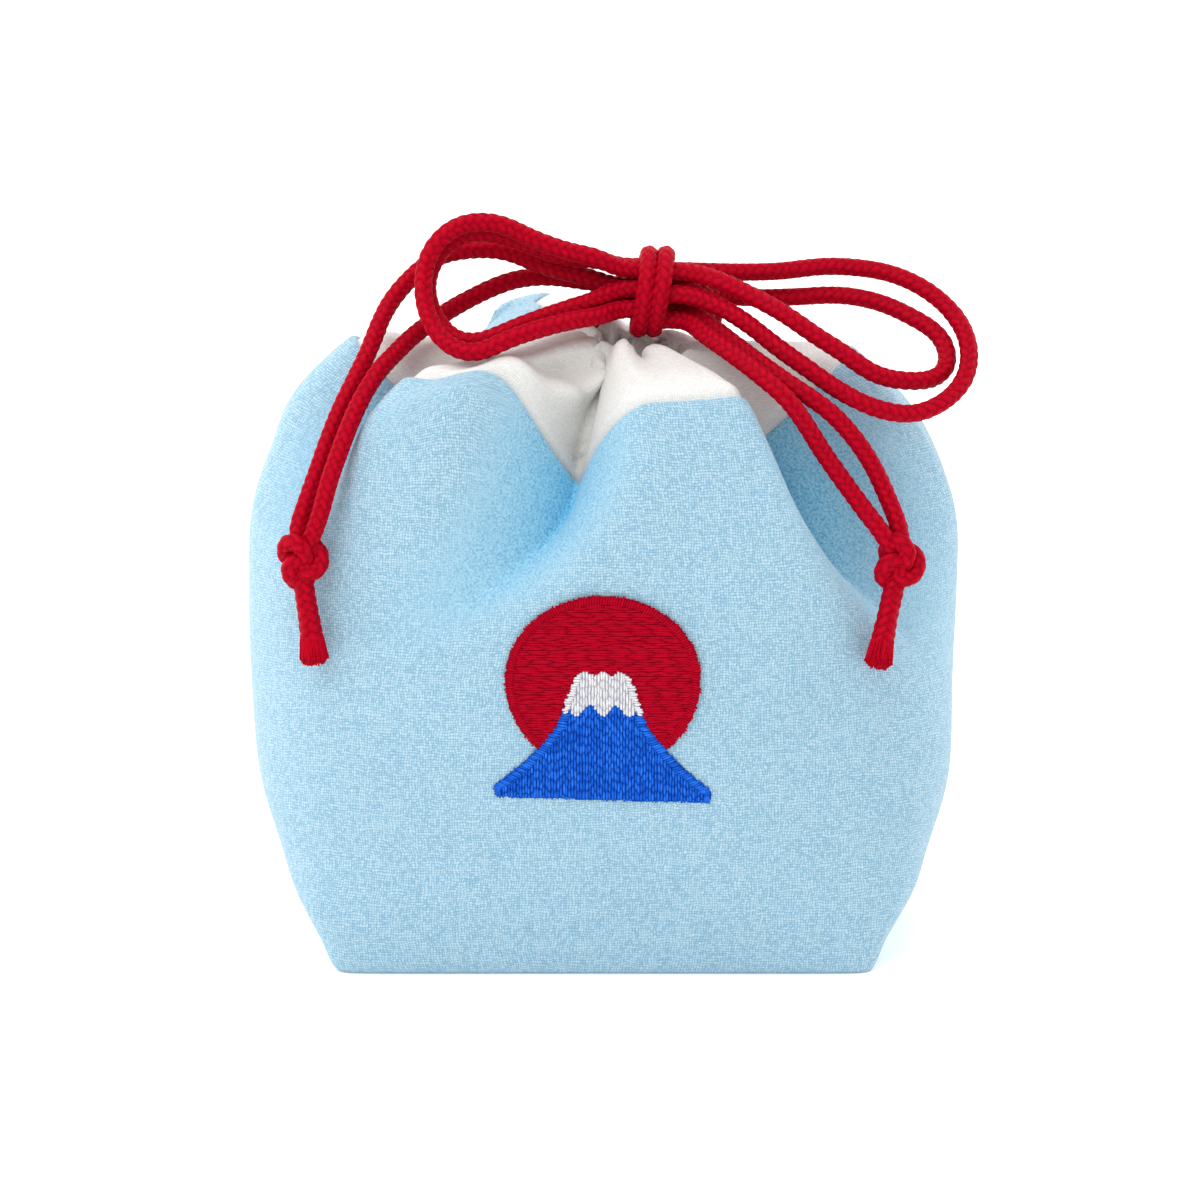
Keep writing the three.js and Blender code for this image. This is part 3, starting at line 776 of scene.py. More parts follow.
@dataclass
class CrepeCloth:
    """The pouch's two cloths: the blue body with its boxed base, and the white gathered collar."""

    columns: int = 400
    body_rows: int = 150
    collar_rows: int = 72
    inner_rows: int = 22
    body_wall: float = 1.4
    collar_wall: float = 1.2
    seam_roll: float = 0.75
    mouth_roll: float = 0.9
    tuck: float = 1.1
    girth: float = 308.0
    body_length: float = 150.0
    collar_length: float = 27.0
    gathers: int = 23
    gather_depth: float = 0.3
    neck_share: float = 0.55
    neck_drop: float = 4.0
    neck_start: float = 0.15
    neck_rings: int = 8
    deepest_fold: float = 0.4
    base_shares: tuple[float, ...] = (0.1, 0.3, 0.5, 0.7, 0.85, 0.95)
    floor_shares: tuple[float, ...] = (0.98, 0.7, 0.4, 0.1)
    # Pairs of rises, and one of turns in degrees, that something eases in or runs between.
    hem_rises: Pair = (0.85, 1.0)
    slack_starts: Pair = (0.03, 0.25)
    slack_stops: Pair = (0.9, 1.0)
    pleat_rises: Pair = (1.05, 1.9)
    body_inner: Pair = (0.96, 0.05)
    collar_outer: Pair = (0.975, 2.0)
    collar_inner: Pair = (1.6, 1.0)
    tuck_rises: Pair = (0.99, 1.09)
    cleft_turns: Pair = (24.0, 36.0)
    collar_slack: float = 0.6
    aslant: float = 1.3
    least_share: float = 0.3
    row_ease: float = 0.95
    slack_depth: float = 0.22
    # Of each wave of slack cloth: its share, its counts round and up the cloth, and its start.
    slack_waves: tuple[tuple[float, ...], ...] = ((1, 3, 7, 0), (0.7, 7, -5, 1.3), (0.5, 13, 11, 0.4))
    hems: tuple[Hem, ...] = (Hem(-152, 12, 0.42), Hem(-25, 8, 0.12))
    swells: tuple[Swell, ...] = (
        Swell(-24.5, 1.54, 5.2, 0.18, -3.0),
        Swell(-14.5, 1.94, 3.4, 0.15, 3.0),
        Swell(-18.5, 1.7, 3.0, 0.15, 3.2),
        Swell(-20, 1.46, 3.4, 0.12, 3.2),
        Swell(-26, 1.27, 6.0, 0.1, 1.8),
        Swell(-40, 1.97, 20.0, 0.4, 3.4),
        Swell(-80, 1.95, 25.0, 0.4, 2.0),
        Swell(-2, 1.97, 11.0, 0.3, 1.6),
        Swell(14, 1.97, 3.0, 0.3, -1.0),
        Swell(25, 1.97, 7.0, 0.3, 1.2),
        Swell(145, 1.95, 32.0, 0.45, 3.0),
        Swell(-156, 1.0, 8.0, 0.3, -5.0),
    )
    front_crease: Crease = Crease(-9, -15, 1.0, 2.0, 2.0, 1.05, 1.98)

    def turns(self) -> np.ndarray:
        """Gives the turn of each column of points."""
        return np.arange(self.columns) * TURN / self.columns - math.pi

    def hemmed(self, rise: float) -> np.ndarray:
        """Gives the rise of each column of a ring, with the blue drawn up at its hems.

        Args:
            rise: How far up its own cloth the ring is.

        Returns:
            The rise of each point.
        """
        degrees = np.degrees(self.turns())
        near = smoothstep(rise, *self.hem_rises) * (1 - smoothstep(rise, 1.0, 2.0))
        lifts = [hem.lift * np.exp(-(((degrees - hem.at) / hem.reach) ** 2)) for hem in self.hems]
        return rise + near * np.sum(lifts, axis=0)

    def folded(self, rises: list[float]) -> np.ndarray:
        """Gives how deep in a fold each point of some rings lies, from 0 to 1."""
        depth = [FORM.fold_depth(self.turns(), self.hemmed(rise)) for rise in rises]
        return np.clip(np.concatenate(depth) / self.deepest_fold, 0, 1)

    def ripple(self, turn: np.ndarray, rise: np.ndarray) -> np.ndarray:
        """Gives the small unevenness of hand-filled cloth, outwards in millimetres.

        Args:
            turn: Radians round the pouch from the front.
            rise: How far up the cloth.

        Returns:
            The offsets.
        """
        slack = sum(share * np.sin(a * turn + b * rise + start) for share, a, b, start in self.slack_waves)
        settled = smoothstep(rise, *self.slack_starts) * (1 - smoothstep(rise, *self.slack_stops))
        # Two sets of pleats, out of step so that no two look alike.
        pleats = np.cos(self.gathers * turn + 0.8 * np.sin(5 * turn)) + 0.6 * np.cos(17 * turn + 1.1)
        drawn = smoothstep(rise, *self.pleat_rises)
        offset = self.slack_depth * settled * slack + self.gather_depth * drawn * pleats
        for swell in self.swells:
            off = np.degrees(wrapped(turn - math.radians(swell.turn)))
            near = (off / swell.round_reach) ** 2 + ((rise - swell.rise) / swell.up_reach) ** 2
            offset = offset + swell.height * np.exp(-near)
        crease = self.front_crease
        off = np.degrees(turn) - (crease.seam + (crease.mouth - crease.seam) * (rise - 1))
        near = np.exp(-np.abs(off / np.where(off < 0, crease.left, crease.right)) ** crease.sharpness)
        ends = smoothstep(rise, crease.low, crease.low + crease.fade)
        ends = ends * (1 - smoothstep(rise, crease.high - crease.fade, crease.high))
        return offset - crease.depth * near * ends

    def outside(self, rise: float, sink: float = 0.0) -> np.ndarray:
        """Gives a ring of points on the outer face.

        Args:
            rise: How far up the cloth.
            sink: How far the ring lies under the face.

        Returns:
            The ring's points.
        """
        turn = self.turns()
        here = self.hemmed(rise)
        out, _ = FORM.facing(turn, here)
        return FORM.wall(turn, here) + (self.ripple(turn, here) - sink)[:, None] * out

    def rolled_edge(self, rise: float, radius: float, steps: int = 8) -> list[np.ndarray]:
        """Turns the cloth over a rounded edge to its inner side.

        Args:
            rise: Where the edge is.
            radius: The edge's radius.
            steps: How many rings it takes.

        Returns:
            The rings, from the outer face to the inner one.
        """
        out, up = FORM.facing(self.turns(), self.hemmed(rise))
        start = self.outside(rise)
        angles = np.linspace(0, math.pi, steps + 1)[1:]
        return [start + radius * (math.sin(a) * up + (math.cos(a) - 1) * out) for a in angles]

    def inside(self, rise: float, wall: float) -> np.ndarray:
        """Gives a ring of points on the inner face, which keeps inside the dimples of the outer one.

        Args:
            rise: How far up the cloth.
            wall: The cloth's thickness there.

        Returns:
            The ring's points.
        """
        turn = self.turns()
        here = np.full(self.columns, rise)
        out, _ = FORM.facing(turn, here)
        ring = FORM.wall(turn, here) + np.minimum(self.ripple(turn, here), 0)[:, None] * out
        axis = np.array([FORM.read(rise)[5], 0.0, min(FORM.heart, float(FORM.read(rise)[0]))])
        reach = ring - axis
        length = np.linalg.norm(reach, axis=1, keepdims=True)
        return axis + reach * np.maximum(1 - self.aslant * wall / length, self.least_share)

    def drawn_neck(self, rim: np.ndarray) -> list[np.ndarray]:
        """Draws the cloth together just inside the mouth, as the cord in its casing does.

        Args:
            rim: The inner ring of the mouth's edge.

        Returns:
            The rings, from the mouth down to the narrowest place.
        """
        middle = rim.mean(axis=0)
        rings = []
        for t in np.linspace(self.neck_start, 1, self.neck_rings):
            ring = middle + (rim - middle) * (1 - (1 - self.neck_share) * math.sin(t * math.pi / 2))
            rings.append(ring - np.array([0.0, 0.0, self.neck_drop * t**1.5]))
        return rings

    def build_body(self) -> bpy.types.Object:
        """Builds the blue body: base, wall, edge at the seam and inner face.

        Returns:
            The piece, which stands for the CAD body.
        """
        foot = self.outside(0.0)
        middle = foot.mean(axis=0)
        rings = [middle + (foot - middle) * share for share in self.base_shares]
        foot_ring = len(rings)
        rises = [0.0] * foot_ring + list(np.linspace(0, 1, self.body_rows) ** self.row_ease)
        rings += [self.outside(rise) for rise in rises[foot_ring:]]
        rings += self.rolled_edge(1.0, self.seam_roll)
        rises += [1.0] * (len(rings) - len(rises))
        inner = np.linspace(*self.body_inner, self.inner_rows)
        rings += [self.inside(rise, self.body_wall) for rise in inner]
        floor = rings[-1] * np.array([1, 1, 0]) + np.array([0, 0, self.body_wall])
        inner_middle = floor.mean(axis=0)
        rings += [inner_middle + (floor - inner_middle) * share for share in self.floor_shares]
        rises += [0.0] * (len(rings) - len(rises))
        points = np.concatenate(rings + [middle[None], inner_middle[None]])
        fold = np.concatenate([self.folded(rises), [0.0, 0.0]])
        faces = ring_faces(len(rings), self.columns) + end_faces(len(rings), self.columns)
        # The small triangles at the middles of the base and of the floor inside have no grain.
        plain = np.zeros((2 * 3 * self.columns, 2))
        corners = np.concatenate([ring_corners(rings, foot_ring).reshape(-1, 2), plain])
        finish = (BLUE_CREPE.material(), BLUE_CREPE.mark, "crepe_blue")
        piece = make_piece("crepe_body", "pouch_body", (points, faces, fold), finish, corners)
        return piece

    def build_collar(self) -> bpy.types.Object:
        """Builds the white collar, from under the blue edge to the rolled mouth and back inside.

        Returns:
            The piece, which stands for the CAD collar.
        """
        rises = np.linspace(*self.collar_outer, self.collar_rows)
        sinks = self.tuck * (1 - smoothstep(rises, *self.tuck_rises))
        rings = [self.outside(rise, sink) for rise, sink in zip(rises, sinks)]
        rings += self.rolled_edge(2.0, self.mouth_roll)
        rings += self.drawn_neck(rings[-1])
        inner = np.linspace(*self.collar_inner, self.inner_rows)
        rings += [self.inside(rise, self.collar_wall + self.collar_slack) for rise in inner]
        # The white's painted fold shade is kept to the front cleft, the only fold narrow enough to shade
        # it.
        painted_shade_window = 1 - smoothstep(np.abs(np.degrees(self.turns())), *self.cleft_turns)
        fold = self.folded(list(rises) + [2.0] * (len(rings) - len(rises))) * np.tile(painted_shade_window, len(rings))
        parts = (np.concatenate(rings), ring_faces(len(rings), self.columns, closed=True), fold)
        finish = (WHITE_CREPE.material(), WHITE_CREPE.mark, "crepe_white")
        piece = make_piece("crepe_collar", "collar", parts, finish, ring_corners(rings + [rings[0]]))
        return piece


@dataclass(frozen=True)
class Braid:
    """The surface of a round braid of yarns that pass over two and under two."""

    diameter: float = 3.2
    yarns: int = 6
    pitch: float = 1.7
    relief: float = 0.25
    unevenness: float = 0.12
    drifts: Pair = (0.83, 0.61)
    sides: int = 36
    step: float = 0.21
    # The height that lies at the cord's own radius.
    level: float = 0.75
    # A way that no strand runs along, which the first side of a strand is turned from.
    aside: Triple = (0.3, 0.8, 0.52)

    def height(self, angle: np.ndarray, along: np.ndarray, pitch: float) -> np.ndarray:
        """Gives how high the braid stands, from 0 in a gap to 1 on a crest.

        Args:
            angle: Radians round the cord.
            along: Millimetres along the cord.
            pitch: Millimetres along the cord from yarn to yarn.

        Returns:
            The heights.
        """
        round_it = self.yarns * angle / TURN
        left = round_it + along / pitch + self.unevenness * np.sin(self.drifts[0] * along)
        right = round_it - along / pitch + self.unevenness * np.sin(self.drifts[1] * along + 1.0)
        over_left = np.mod(np.floor(left) + right, 4)
        over_right = np.mod(np.floor(right) + left, 4) - 2
        on_left = over_left < 2
        ahead = np.where(on_left, over_left, np.clip(over_right, 0, 2)) / 2
        across = np.where(on_left, left, right) % 1.0
        crown = np.clip(1 - (2 * across - 1) ** 2, 0, 1) ** 0.5
        return crown * np.clip(np.sin(math.pi * ahead), 0, 1) ** 0.6


def curve_through(points: np.ndarray, step: float, ease: float) -> np.ndarray:
    """Lays an even, slightly eased curve through given points.

    Args:
        points: The points to follow.
        step: The distance between the curve's own points.
        ease: The distance over which sharp turns are rounded off.

    Returns:
        The curve's points.
    """
    ends = np.vstack([2 * points[0] - points[1], points, 2 * points[-1] - points[-2]])
    knots = np.concatenate([[0], np.cumsum(np.linalg.norm(np.diff(ends, axis=0), axis=1) ** 0.5)])
    levels = (((0, 1), (1, 2), (2, 3)), ((0, 2), (1, 3)), ((1, 2),))
    dense = []
    for k in range(len(points) - 1):
        place = knots[k:k + 4]
        t = np.linspace(place[1], place[2], 40, endpoint=False)[:, None]
        blend = list(ends[k:k + 4])
        for pairs in levels:
            blend = [
                a + (b - a) * (t - place[i]) / (place[j] - place[i])
                for a, b, (i, j) in zip(blend, blend[1:], pairs)
            ]
        dense.append(blend[0])
    path = even_path(np.vstack([*dense, points[-1:]]), step)
    reach = min(int(2 * ease / step), len(path) - 1)
    weights = np.exp(-0.5 * (np.arange(-reach, reach + 1) * step / ease) ** 2)
    lead = 2 * path[0] - path[reach:0:-1]
    trail = 2 * path[-1] - path[-2:-reach - 2:-1]
    padded = np.vstack([lead, path, trail])
    eased = [np.convolve(padded[:, k], weights / weights.sum(), mode="valid") for k in range(3)]
    return even_path(np.stack(eased, -1), step)


def even_path(path: np.ndarray, step: float) -> np.ndarray:
    """Spaces a path's points evenly.

    Args:
        path: The path's points.
        step: The distance wanted between points.

    Returns:
        The evenly spaced points.
    """
    along = distances(path)
    places = np.linspace(0, along[-1], max(int(round(along[-1] / step)), 2) + 1)
    return np.stack([np.interp(places, along, path[:, k]) for k in range(3)], -1)


def braid_tube(
    path: np.ndarray, braid: Braid, closed: bool = False, swell: np.ndarray | None = None
) -> MeshParts:
    """Sweeps a braid along a path.

    Args:
        path: The cord's middle line, evenly spaced, without its first point again if closed.
        braid: The braid's sizes.
        closed: Whether the cord joins its own start.
        swell: A factor on the cord's thickness at each point.

    Returns:
        Points, faces and the height of the braid at each point.
    """
    count = len(path)
    before = np.roll(path, 1, axis=0) if closed else np.vstack([path[:1], path[:-1]])
    after = np.roll(path, -1, axis=0) if closed else np.vstack([path[1:], path[-1:]])
    ahead = unit(after - before)
    normals = [unit(np.cross(ahead[0], braid.aside))]
    for way in ahead[1:]:
        normals.append(unit(normals[-1] - way * (normals[-1] @ way)))
    normal = np.array(normals)
    side = np.cross(ahead, normal)
    along = distances(path)
    twist = np.zeros(count)
    pitch = braid.pitch
    if closed:
        back = normal[-1] - ahead[0] * (normal[-1] @ ahead[0])
        miss = math.atan2(back @ side[0], back @ normal[0])
        twist = -miss * np.arange(count) / count
        total = along[-1] + np.linalg.norm(path[0] - path[-1])
        pitch = total / max(round(total / braid.pitch), 1)
    angle = np.arange(braid.sides) * TURN / braid.sides
    height = braid.height(angle[None, :], along[:, None], pitch)
    radius = braid.diameter / 2 - braid.relief * (braid.level - height)
    radius = radius * (np.ones(count) if swell is None else swell)[:, None]
    turned = (angle[None, :] + twist[:, None])[..., None]
    ways = np.cos(turned) * normal[:, None] + np.sin(turned) * side[:, None]
    points = (path[:, None] + radius[..., None] * ways).reshape(-1, 3)
    faces = ring_faces(count, braid.sides, closed)
    if closed:
        return points, faces, height.ravel()
    points = np.vstack([points, path[:1], path[-1:]])
    heights = np.concatenate([height.ravel(), [0.0, 0.0]])
    return points, faces + end_faces(count, braid.sides), heights


def joined(parts: list[MeshParts]) -> MeshParts:
    """Puts several meshes together as one.

    Args:
        parts: Points, faces and marks of each.

    Returns:
        Points, faces and marks of the whole.
    """
    starts = np.cumsum([0] + [len(points) for points, _, _ in parts])
    faces = [tuple(i + start for i in face) for start, (_, some, _) in zip(starts, parts) for face in some]
    return np.concatenate([p for p, _, _ in parts]), faces, np.concatenate([m for _, _, m in parts])


@dataclass(frozen=True)
class Strand:
    """One strand of the bow: where it leaves the knot, its route, and where it goes back in.

    leave and enter are y and z from the middle of the knot.
    """

    name: str
    side: Side
    leave: Pair
    route: tuple[Triple, ...]
    enter: Pair | None = None


@dataclass(frozen=True)
class Stem:
    """A short strand from the collar's casing up into the bow's knot."""

    name: str
    side: Side
    turn: float
    rise: float
    enter: Pair
    route: tuple[Triple, ...]


@dataclass(frozen=True)
class CordEnd:
    """The knot that ends a pair of strands, and the frayed tip below it, with the seed of its fibres."""

    name: str
    side: Side
    seed: int
    at: Triple
    tip: tuple[Triple, ...]


LOOPS = (
    Strand("loop_left_1", Side.LEFT, (-2.1, 4.6), (
        (-0.5, -3.5, 123.0), (-6.5, -4.0, 124.5), (-13.0, -4.5, 127.0), (-18.0, -5.0, 129.5),
        (-23.5, -6.0, 130.0), (-27.5, -8.0, 128.5), (-30.5, -9.5, 125.0), (-31.5, -11.0, 120.0),
        (-31.0, -13.0, 116.0), (-29.0, -15.5, 112.2), (-26.0, -17.5, 110.0), (-22.0, -19.0, 109.5),
        (-17.0, -18.5, 111.7), (-11.0, -16.0, 113.2), (-5.0, -12.0, 113.9), (0.0, -7.6, 113.8),
    ), (-4.2, -2.3)),
    Strand("loop_left_2", Side.LEFT, (1.4, 4.2), (
        (-0.5, 0.5, 122.0), (-6.5, 0.0, 122.5), (-12.0, -0.5, 124.5), (-17.5, -1.0, 126.5),
        (-23.0, -2.0, 127.5), (-27.0, -4.0, 126.0), (-29.5, -6.0, 123.5), (-31.0, -7.5, 119.0),
        (-30.0, -9.5, 115.0), (-28.0, -11.8, 112.2), (-25.0, -13.9, 110.5), (-21.0, -15.3, 110.8),
        (-16.5, -14.6, 112.6), (-10.5, -11.6, 114.3), (-4.5, -7.8, 115.5), (0.0, -4.2, 116.4),
    ), (-2.7, 1.0)),
    Strand("loop_right_1", Side.RIGHT, (1.1, 3.5), (
        (21.0, 2.0, 119.5), (31.0, 5.0, 119.0), (39.0, 7.0, 119.5), (47.0, 7.0, 119.0),
        (52.5, 5.0, 118.0), (58.0, 2.0, 115.5), (62.0, -1.0, 112.0), (64.0, -5.0, 108.0),
        (63.5, -9.0, 103.5), (60.0, -13.0, 100.0), (54.0, -16.0, 98.0), (48.0, -17.0, 99.0),
        (41.5, -17.0, 102.0), (35.5, -16.0, 106.0), (30.5, -13.0, 109.0), (24.5, -9.0, 113.0),
        (19.0, -5.5, 115.5),
    ), (-4.4, 0.4)),
    Strand("loop_right_2", Side.RIGHT, (-0.9, 0.2), (
        (21.0, 5.0, 114.5), (28.0, 6.0, 114.0), (34.5, 7.0, 114.0), (42.0, 6.0, 114.5),
        (49.0, 4.0, 113.5), (54.5, 1.0, 111.5), (59.0, -2.0, 109.0), (60.5, -5.0, 105.5),
        (58.5, -9.0, 103.0), (52.5, -12.0, 103.0), (47.0, -13.0, 104.5), (42.0, -13.0, 108.0),
        (37.0, -12.0, 111.0), (31.5, -10.0, 114.5), (26.0, -7.0, 117.0), (20.5, -4.5, 119.2),
    ), (-2.5, 4.1)),
)

TAILS = (
    Strand("tail_left_1", Side.LEFT, (0.8, 0.7), (
        (-2.5, 1.5, 118.6), (-10.5, 2.0, 120.5), (-17.5, 3.0, 123.1), (-23.5, 3.0, 123.3),
        (-29.0, 1.5, 122.5), (-33.5, -1.0, 119.5), (-37.0, -4.0, 116.0), (-39.0, -8.0, 113.0),
        (-40.5, -11.5, 109.5), (-42.5, -15.0, 105.5), (-45.5, -18.5, 100.0), (-48.0, -21.0, 94.0),
        (-50.0, -23.0, 88.5), (-52.0, -24.5, 83.0), (-53.2, -26.0, 79.6),
    )),
    Strand("tail_left_2", Side.LEFT, (4.4, 0.2), (
        (-2.5, 5.5, 117.0), (-10.5, 5.5, 118.0), (-16.5, 4.0, 117.5), (-23.5, 1.0, 115.0),
        (-29.0, -3.0, 112.5), (-33.5, -7.5, 110.0), (-36.5, -12.0, 107.8), (-39.5, -17.5, 105.5),
        (-43.0, -22.5, 100.0), (-45.5, -25.5, 94.0), (-47.5, -27.0, 88.5), (-49.0, -27.8, 83.0),
        (-50.2, -28.0, 79.6),
    )),
    Strand("tail_right_1", Side.RIGHT, (-3.7, -4.4), (
        (16.5, -8.0, 111.2), (22.5, -16.0, 108.5), (27.5, -20.5, 105.5), (32.0, -23.5, 102.0),
        (35.0, -22.5, 97.5), (38.0, -22.0, 92.5), (41.5, -22.0, 87.5), (45.0, -23.0, 82.8),
        (48.4, -24.8, 78.7),
    )),
    Strand("tail_right_2", Side.RIGHT, (0.2, -3.3), (
        (17.5, -4.0, 112.0), (23.0, -10.0, 109.0), (28.5, -16.0, 106.0), (34.0, -20.0, 103.0),
        (39.0, -20.0, 99.5), (43.5, -19.5, 94.5), (46.5, -19.5, 90.0), (48.5, -20.0, 86.0),
        (50.2, -21.2, 82.0), (51.6, -22.8, 78.6),
    )),
)

STEMS = (
    Stem("stem_left_1", Side.LEFT, -153, 1.7, (0.0, -2.9), ((-3.6, 4.4, 112.2),)),
    Stem("stem_left_2", Side.LEFT, -168, 1.7, (3.6, -3.3), ((0.2, 7.0, 112.0),)),
    Stem("stem_right_1", Side.RIGHT, 120, 1.75, (3.8, -2.8), ((17.8, 5.4, 111.8),)),
    Stem("stem_right_2", Side.RIGHT, 140, 1.5, (3.5, 0.8), ((19.5, 10.0, 113.0), (17.2, 6.8, 116.0))),
)

ENDS = (
    CordEnd("left", Side.LEFT, 7, (-52.3, -28.0, 74.8), (
        (-51.9, -28.6, 69.6), (-51.0, -29.3, 64.0), (-50.2, -30.0, 57.0),
    )),
    CordEnd("right", Side.RIGHT, 8, (51.2, -25.0, 73.6), (
        (50.2, -25.6, 68.4), (49.0, -27.4, 63.5), (47.5, -30.4, 56.4),
    )),
)


@dataclass
class Bow:
    """The red cords: the bow's knot, its loops and tails, the end knots and the frayed tips."""

    middle: Triple = (8.4, 0.0, 116.4)
    half_length: float = 4.2
    turn: float = 6.6
    turn_spacing: float = 2.8
    leans: Pair = (8.5, 10.0)
    face_gap: float = 0.3
    lead: float = 1.6
    into_knot: float = 4.0
    into_end: float = 0.6
    stem_rise: float = 1.2
    below_casing: float = 1.5
    ease: float = 2.0
    route_step: float = 3.0
    end_ring: float = 1.75
    end_swing: float = 1.45
    end_stretch: float = 1.22
    end_roll: float = 14.0
    end_samples: int = 1200
    tip_swell: float = 1.14
    tip_flare: float = 1.5
    tip_braided: float = 0.72
    fibres: int = 420
    fibre_width: float = 0.34
    fibre_sides: int = 5
    fibre_stations: int = 6
    fibre_tones: Pair = (0.6, 1.0)
    stray: float = 0.12
    flare_span: Pair = (0.5, 0.92)
    round_span: Pair = (0.8, 1.04)
    braid: Braid = Braid()
    finish: Finish = field(init=False)
    pieces: dict[str, bpy.types.Object] = field(default_factory=dict, init=False)
    paths: dict[str, np.ndarray] = field(default_factory=dict, init=False)

    def face(self, side: Side, place: Pair, out: float) -> np.ndarray:
        """Gives a point on an end face of the bow's knot.

        Args:
            side: Which end face.
            place: y and z from the middle of the knot.
            out: How far outside the face the point lies.

        Returns:
            The point.
        """
        x, y, z = self.middle
        reach = self.half_length + self.face_gap + out
        return np.array([x + side.value * reach, y + place[0], z + place[1]])

    def way_in(self, side: Side, place: Pair) -> list[np.ndarray]:
        """Gives the two points by which a strand goes into the bow's knot."""
        return [self.face(side, place, out) for out in (self.lead, -self.into_knot)]

    def end_on(self, side: Side) -> CordEnd:
        """Gives the end of the pair of tails on a side."""
        return next(end for end in ENDS if end.side is side)

    def add(self, name: str, node: str, parts: MeshParts) -> None:
        """Makes a piece of the cords and keeps it by its CAD node."""
        self.pieces[node] = make_piece(name, node, parts, self.finish)

    def add_strand(self, node: str, points: list[np.ndarray]) -> None:
        """Builds one braided strand along its points.

        Args:
            node: The CAD node that it stands for.
            points: The points that it follows.
        """
        path = curve_through(np.array(points), self.braid.step, self.ease)
        self.add(f"braid_{node}", node, braid_tube(path, self.braid))
        self.paths[node] = path

    def build_strand(self, strand: Strand) -> None:
        """Builds a loop or a tail.

        Args:
            strand: The strand's places.
        """
        points = self.way_in(strand.side, strand.leave)[::-1] + [np.array(p) for p in strand.route]
        if strand.enter:
            points += self.way_in(strand.side, strand.enter)
        else:
            knot = np.array(self.end_on(strand.side).at)
            points.append(self.into_end * knot + (1 - self.into_end) * points[-1])
        self.add_strand(strand.name, points)

    def build_stem(self, stem: Stem) -> None:
        """Builds a stem, from inside the collar's casing to inside the knot.

        Args:
            stem: The stem's places.
        """
        foot = FORM.wall(np.array([math.radians(stem.turn)]), np.array([stem.rise]))[0]
        up = np.array([0.0, 0.0, 1.0])
        points = [foot - self.below_casing * up, foot + (self.stem_rise + self.lead) * up]
        points += [np.array(p) for p in stem.route] + self.way_in(stem.side, stem.enter)
        self.add_strand(stem.name, points)

    def build_knot(self) -> None:
        """Builds the bow's knot: two leaning turns of cord round the bunch of strands."""
        angle = np.linspace(0, TURN, int(TURN * self.turn / self.braid.step), endpoint=False)
        parts = []
        for place, degrees in zip((-0.5, 0.5), self.leans):
            lean = math.radians(degrees)
            x = self.middle[0] + place * self.turn_spacing + self.turn * np.sin(angle) * math.sin(lean)
            y = self.middle[1] + self.turn * np.cos(angle)
            z = self.middle[2] + self.turn * np.sin(angle) * math.cos(lean)
            parts.append(braid_tube(np.stack([x, y, z], -1), self.braid, closed=True))
        self.add("braid_bow_knot", "bow_knot", joined(parts))

    def build_end_knot(self, end: CordEnd) -> None:
        """Builds an overhand knot: a cord drawn tight into three lobes.

        Args:
            end: The end's places.
        """
        angle = np.linspace(0, TURN, self.end_samples, endpoint=False)
        reach = self.end_ring + self.end_swing * np.cos(3 * angle)
        x = reach * np.cos(2 * angle)
        z = reach * np.sin(2 * angle)
        y = self.end_swing * np.sin(3 * angle)
        roll = math.radians(self.end_roll) * end.side.value
        tall = self.end_stretch * z
        leaning = [
            x * math.cos(roll) + tall * math.sin(roll), y, tall * math.cos(roll) - x * math.sin(roll)
        ]
        path = even_path(np.array(end.at) + np.stack(leaning, -1), self.braid.step)
        node = f"end_knot_{end.name}"
        self.add(f"braid_{node}", node, braid_tube(path, self.braid, closed=True))

    def build_tip(self, end: CordEnd) -> None:
        """Builds the short end below a knot, which flares into a close brush of fibres.

        Args:
            end: The end's places.
        """
        route = np.array([end.at, *end.tip])
        path = curve_through(route, self.braid.step, self.ease)
        share = np.linspace(0, 1, len(path))
        flare = self.tip_swell + (self.tip_flare - self.tip_swell) * smoothstep(share, *self.flare_span)
        rounded = np.sqrt(np.clip(1 - smoothstep(share, *self.round_span) ** 2, 0.1, 1))
        core = flare * rounded * (1 - 0.1 * smoothstep(share, 0.6, 0.8))
        parts = [braid_tube(path, self.braid, swell=core)]
        first = int(self.tip_braided * len(path))
        brush = path[first:]
        way = brush[-1] - brush[0]
        length = np.linalg.norm(way)
        way /= length
        across = unit(np.cross(way, [0.0, 1.0, 0.0]))
        other = np.cross(way, across)
        rng = np.random.default_rng(end.seed)
        thin = Braid(self.fibre_width, relief=0.0, sides=self.fibre_sides)
        t = np.linspace(0, 1, self.fibre_stations)[:, None]
        for _ in range(self.fibres):
            turn = rng.uniform(0, TURN)
            reach = math.sqrt(rng.uniform(0.2, 1))
            out = math.cos(turn) * across + math.sin(turn) * other
            spread = self.tip_swell + (self.tip_flare - self.tip_swell) * t**0.7
            width = 0.5 * self.braid.diameter * reach * spread
            end_at = length * (1.06 - 0.24 * reach**3) * rng.uniform(0.92, 1.05)
            stray = rng.normal(0, self.stray, 3) * t**3
            fibre = brush[0] + t * end_at * way + width * out + stray
            points, faces, _ = braid_tube(fibre, thin)
            parts.append((points, faces, np.full(len(points), rng.uniform(*self.fibre_tones))))
        self.add(f"frayed_tip_{end.name}", f"tip_{end.name}", joined(parts))

    def build(self) -> list[bpy.types.Object]:
        """Returns:
            The pieces.
        """
        self.finish = (RED_BRAID.material(), RED_BRAID.mark, "cord_red")
        for strand in LOOPS + TAILS:
            self.build_strand(strand)
        for stem in STEMS:
            self.build_stem(stem)
        self.build_knot()
        for end in ENDS:
            self.build_end_knot(end)
            self.build_tip(end)
        for tail, stem in zip(TAILS, STEMS):
            end = self.end_on(tail.side)
        return list(self.pieces.values())


